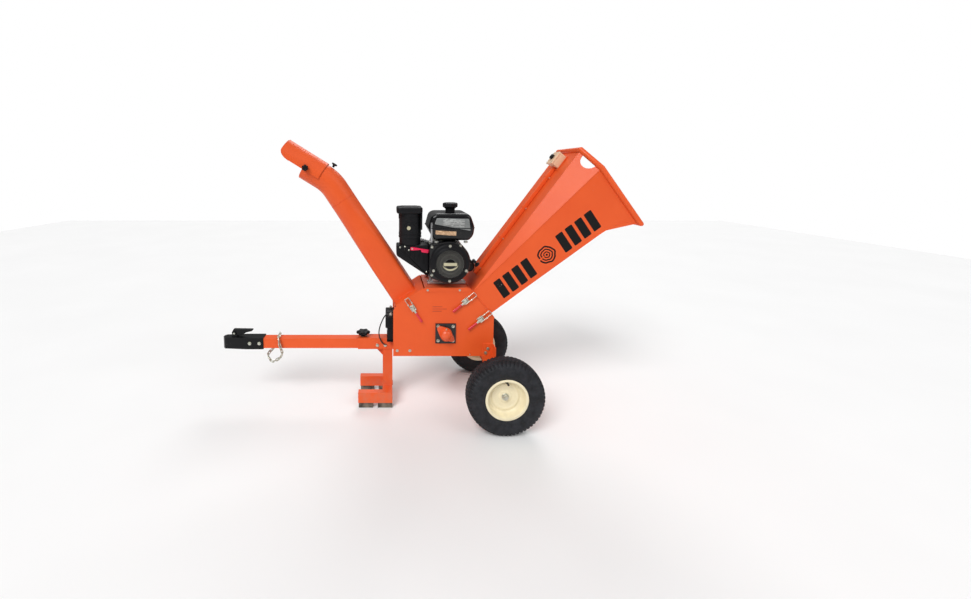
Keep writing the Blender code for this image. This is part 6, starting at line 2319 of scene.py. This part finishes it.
@dataclass
class Chute(Assembly):
    """The curved discharge chute, its flange, the tilting deflector and the two knobs."""

    half: float = 0.076
    wall: float = 0.0025
    length: float = 0.798
    outlet: float = 0.169
    lean: float = math.radians(32.0)
    bend: float = 0.245
    setback: float = 0.016
    behind: float = 0.090
    hood: float = 0.260
    corner_top: float = 0.022
    corner_length: float = 0.066

    def line(self) -> tuple[Points, Points, Points]:
        """The chute's middle line.

        Returns:
            Centres (n, 2) in X and Z, directions (n, 2), and how far along the straight part each one is.
        """
        start = from_axle(CHUTE_SEAT.at(self.half - 0.011, 0.0))
        out = CHUTE_SEAT.out()
        first = np.array((out.x, out.z))
        last = np.array((-math.cos(self.lean), math.sin(self.lean)))
        turn = math.acos(float(first @ last))
        tangent = self.bend * math.tan(turn / 2)
        corner = start + first * self.length
        straight = np.linspace(0.0045, self.length - tangent, 30)
        centres = [start + first * reach for reach in straight[:-1]]
        ways = [first] * len(centres)
        side = np.array((-first[1], first[0]))
        middle = corner - first * tangent + side * self.bend
        for angle in np.linspace(0.0, turn, 25):
            spin = np.array([[math.cos(angle), -math.sin(angle)], [math.sin(angle), math.cos(angle)]])
            centres.append(middle - spin @ side * self.bend)
            ways.append(spin @ first)
        for reach in np.linspace(tangent, self.outlet, 6)[1:]:
            centres.append(corner + last * reach)
            ways.append(last)
        share = np.concatenate([straight[:-1] / self.length, np.ones(len(centres) - 29)])
        return np.array(centres), np.array(ways), share

    def loops(self, inset: float) -> Points:
        """The tube's sections, square with round corners at the flange and round at the outlet."""
        centres, ways, share = self.line()
        half = self.half - inset
        radius = half * (0.28 + 0.68 * np.clip((share - 0.30) / 0.45, 0.0, 1.0))
        turn = np.linspace(0.0, np.pi / 2, 9)
        flat = (half - radius)[:, None]
        parts = []
        for quarter in range(4):
            angle = turn + quarter * np.pi / 2
            sign_a = 1.0 if quarter in (0, 3) else -1.0
            sign_b = 1.0 if quarter in (0, 1) else -1.0
            parts.append(
                np.stack(
                    [
                        sign_a * flat + radius[:, None] * np.cos(angle),
                        sign_b * flat + radius[:, None] * np.sin(angle),
                    ],
                    axis=-1,
                )
            )
        section = np.concatenate(parts, axis=1)
        across = np.stack([ways[:, 1], -ways[:, 0]], axis=1)
        x = centres[:, :1] + across[:, :1] * section[..., 0] + AXLE_X
        z = centres[:, 1:] + across[:, 1:] * section[..., 0]
        return np.stack([x, section[..., 1], z], axis=-1)

    def tube_shell(self) -> None:
        """The tube: its outer skin forwards and its inner skin back, joined at both ends."""
        outer, inner = self.loops(0.0), self.loops(self.wall)
        shell = skin(np.concatenate([outer, inner[::-1]]), True)
        self.piece("chute_tube", shell, POWDER, replaces=("chute",), sharp=50.0)
        foot = outer[0] + (outer[0] - outer[0].mean(axis=0)) * 0.012
        self.piece(
            "chute_weld",
            weld(np.concatenate([foot, foot[:1]]) + np.array(CHUTE_SEAT.out()) * 0.0025, 0.0028),
            POWDER,
        )
        middle = self.loops(-0.0006)[26]
        band = tube(middle, 0.0011, 8, True)
        self.piece("chute_seam", band, POWDER)

    def flange(self) -> None:
        """The base flange, open in its middle, with the clamp's tab on either side."""
        frame = CHUTE_SEAT.matrix()
        length, middle = CHUTE_SEAT.length(), self.half - 0.011
        outside = box_outline(length, 0.300, 0.004, 5) + (length / 2, 0.0)
        inside = box_outline(2 * self.half - 0.006, 2 * self.half - 0.006, 0.020, 5) + (middle, 0.0)
        rings = []
        for outline, rise in ((outside, 0.0003), (outside, 0.0053), (inside, 0.0053), (inside, 0.0003)):
            rings.append(np.concatenate([outline, np.full((len(outline), 1), rise)], axis=1))
        plate = skin(np.array(rings), True).moved(frame)
        tabs = [
            solid(
                box_outline(0.016, 0.026, 0.003),
                soft_ends(0.0006, 0.0050, 0.001, 2),
                frame @ Matrix.Translation((0.078, side * 0.1565, 0.0)),
            )
            for side in (NEAR, FAR)
        ]
        self.piece("chute_flange", join([plate] + tabs), POWDER)

    def hood_frame(self) -> Matrix:
        """A frame at the deflector's pivot: X back down the outlet, Z up."""
        start = from_axle(CHUTE_SEAT.at(self.half - 0.011, 0.0))
        out = CHUTE_SEAT.out()
        way = np.array((-math.cos(self.lean), math.sin(self.lean)))
        pivot = start + np.array((out.x, out.z)) * self.length + way * (self.outlet - self.setback)
        return Seat(tuple(pivot), tuple(pivot - way)).matrix()

    def deflector(self) -> None:
        """An arched hood whose lower front corners are cut back in a curve, with a turned edge."""
        radius, thick, skirt = self.half + 0.0045, 0.003, 0.016
        turn = np.linspace(0.0, np.pi, 49)
        low = np.linspace(-skirt, 0.0, 5)[:-1]
        fall = np.concatenate([low, np.zeros(49), low[::-1]])
        angle = np.concatenate([np.zeros(4), turn, np.full(4, np.pi)])
        height = radius * np.sin(angle) + fall
        drop = np.clip((self.corner_top - height) / (self.corner_top + skirt), 0.0, 1.0)
        front = self.behind - self.hood + self.corner_length * (1.0 - np.sqrt(1.0 - drop**2))
        share = np.linspace(0.0, 1.0, 40)[:, None]
        along = self.behind + (front - self.behind) * share
        skins = []
        for reach in (radius + thick, radius):
            y = np.broadcast_to(reach * np.cos(angle), along.shape)
            z = np.broadcast_to(reach * np.sin(angle) + fall, along.shape)
            skins.append(np.stack([along, y, z], axis=-1))
        loops = np.concatenate([skins[0], skins[1][::-1]]).transpose(1, 0, 2)
        self.piece(
            "hood", skin(loops).moved(self.hood_frame()), POWDER, "deflector", ("deflector",), sharp=50.0
        )
        edge = (skins[0][-1] + skins[1][-1]) / 2
        self.piece("hood_edge", tube(edge, 0.0024, 10).moved(self.hood_frame()), POWDER, "deflector")

    def knobs(self) -> None:
        """The deflector's side knob with its washer, the far side's nut, and the knob on the chute's back."""
        frame = self.hood_frame()
        face = self.half + 0.0078
        profile = [
            (0.0, 0.0100),
            (0.005, 0.0100),
            (0.007, 0.0150),
            (0.009, 0.0185),
            (0.020, 0.0190),
            (0.0230, 0.0165),
            (0.0240, 0.0100),
            (0.0240, 0.002),
        ]
        pivot = frame @ Vector((0.0, 0.0, 0.0))
        near = lathe(profile, pivot + Vector((0.0, -face, 0.0)), (0, NEAR, 0), 72, lobes=6, dip=0.18)
        self.piece("side_knob", near, PLASTIC, "deflector_knob", ("deflector_knob",))
        far = bolt(
            facing(pivot + Vector((0.0, face - 0.0003, 0.0)), Vector((1, 0, 0)), Vector((0, 1, 0))),
            0.013,
            0.008,
            0.011,
        )
        self.piece("side_nut", far, ZINC, "deflector")
        seat = frame @ Vector((self.behind + 0.030, 0.0, self.half + 0.004))
        up = (frame.to_3x3() @ Vector((0.0, 0.0, 1.0))).normalized()
        wing = [
            (0.0, 0.0070),
            (0.011, 0.0070),
            (0.013, 0.0120),
            (0.0150, 0.0168),
            (0.0210, 0.0170),
            (0.0232, 0.0140),
            (0.0240, 0.0080),
            (0.0240, 0.002),
        ]
        self.piece(
            "back_knob", lathe(wing, seat, up, 72, lobes=6, dip=0.2), PLASTIC, "wing_knob", ("wing_knob",)
        )

    def build(self) -> None:
        """Makes the chute."""
        self.tube_shell()
        self.flange()
        self.deflector()
        self.knobs()


def from_axle(place: Vector) -> Points:
    """A place's X and Z, measured from the axle."""
    return np.array((place.x - AXLE_X, place.z))


# Guard


@dataclass
class Guard(Assembly):
    """The belt guard's bolts and pressed louvres, on the far side."""

    lower: tuple[float, float] = (-0.293, 0.473)
    upper: tuple[float, float] = (-0.280, 0.888)

    def build(self) -> None:
        """Makes them on the guard's outer face."""
        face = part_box("belt_guard")[1].y
        spots = [(self.lower[0] + a, self.lower[1]) for a in (-0.050, 0.050)]
        spots += [(self.upper[0] + a, self.upper[1]) for a in (-0.032, 0.032)]
        bolts = [bolt(side_on(x, face, z, FAR), 0.012, 0.006, 0.010) for x, z in spots]
        self.piece("guard_face_bolts", join(bolts), ZINC)
        bars = [
            solid(
                box_outline(0.070, 0.009, 0.004),
                soft_ends(-0.001, 0.0028, 0.002, 3),
                side_on(-0.287, face, z, FAR),
            )
            for z in np.linspace(0.590, 0.770, 8)
        ]
        self.piece("guard_louvres", join(bars), POWDER)


# Frame's own nodes


@dataclass
class Paintwork:
    """Finishes for the frame's nodes that stay in sight."""

    by_slot: dict[str, object] = field(
        default_factory=lambda: {
            "orange": POWDER,
            "cream": CREAM,
            "tyre": TyreFinish(),
            "rubber": PAD,
            "plastic": PLASTIC,
            "black_paint": ENAMEL,
            "zinc": ZINC,
            "steel": STEEL,
            "aluminium": ALLOY,
            "red": RED,
            "muffler": HEAT,
            "box": BEIGE,
        }
    )
    by_node: dict[str, object] = field(
        default_factory=lambda: {
            "bearing_near": SplitFinish("bearing_two_tone", POWDER, ENAMEL, (0.0, 1.0, 0.0), -0.1566),
            "bearing_far": ENAMEL,
        }
    )
    soft_edge: float = 0.0008
    corner: float = math.radians(38.0)

    def paint(self, node: bpy.types.Object, finish: object) -> None:
        """Gives a node its finish and soft edges; its points stay as they are."""
        mesh = node.data
        mesh.materials.clear()
        mesh.materials.append(SHELF.take(finish))
        if "custom_normal" in mesh.attributes:
            mesh.attributes.remove(mesh.attributes["custom_normal"])
        mesh.shade_smooth()
        together = node.modifiers.new("together", "WELD")
        together.merge_threshold = 1e-5
        soft = node.modifiers.new("soft", "BEVEL")
        soft.width, soft.segments = self.soft_edge, 2
        soft.limit_method, soft.angle_limit = "ANGLE", self.corner
        even = node.modifiers.new("even", "WEIGHTED_NORMAL")
        even.keep_sharp = True

    def build(self) -> None:
        """Paints every node that no piece replaces."""
        slots = {entry["node"]: entry["material_slot"] for entry in frame["record"]["subparts"]}
        for name, node in sorted(frame["nodes"].items()):
            if node.hide_render:
                continue
            self.paint(node, self.by_node.get(name) or self.by_slot[slots[name]])
            log.info("%s: painted", name)


def main() -> None:
    """Builds everything round the frame."""
    logging.basicConfig(level=logging.INFO, format="%(name)s: %(message)s")
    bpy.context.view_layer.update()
    Studio().build()
    steps = [Battery(), Hitch()]
    for side, label in ((NEAR, "near"), (FAR, "far")):
        steps.append(Wheel(f"wheel_{label}", side=side, label=label))
    steps += [Housing(), Engine(), Hopper(), Chute(), Guard()]
    steps.append(Clamp(name="chute", seat=CHUTE_SEAT, along=0.078))
    steps.append(Clamp(name="hopper_upper", seat=HOPPER_SEAT, along=0.042))
    steps.append(Clamp(name="hopper_lower", seat=HOPPER_SEAT, along=0.180))
    for step in steps:
        step.build()
    Paintwork().build()


if __name__ == "__main__":
    main()
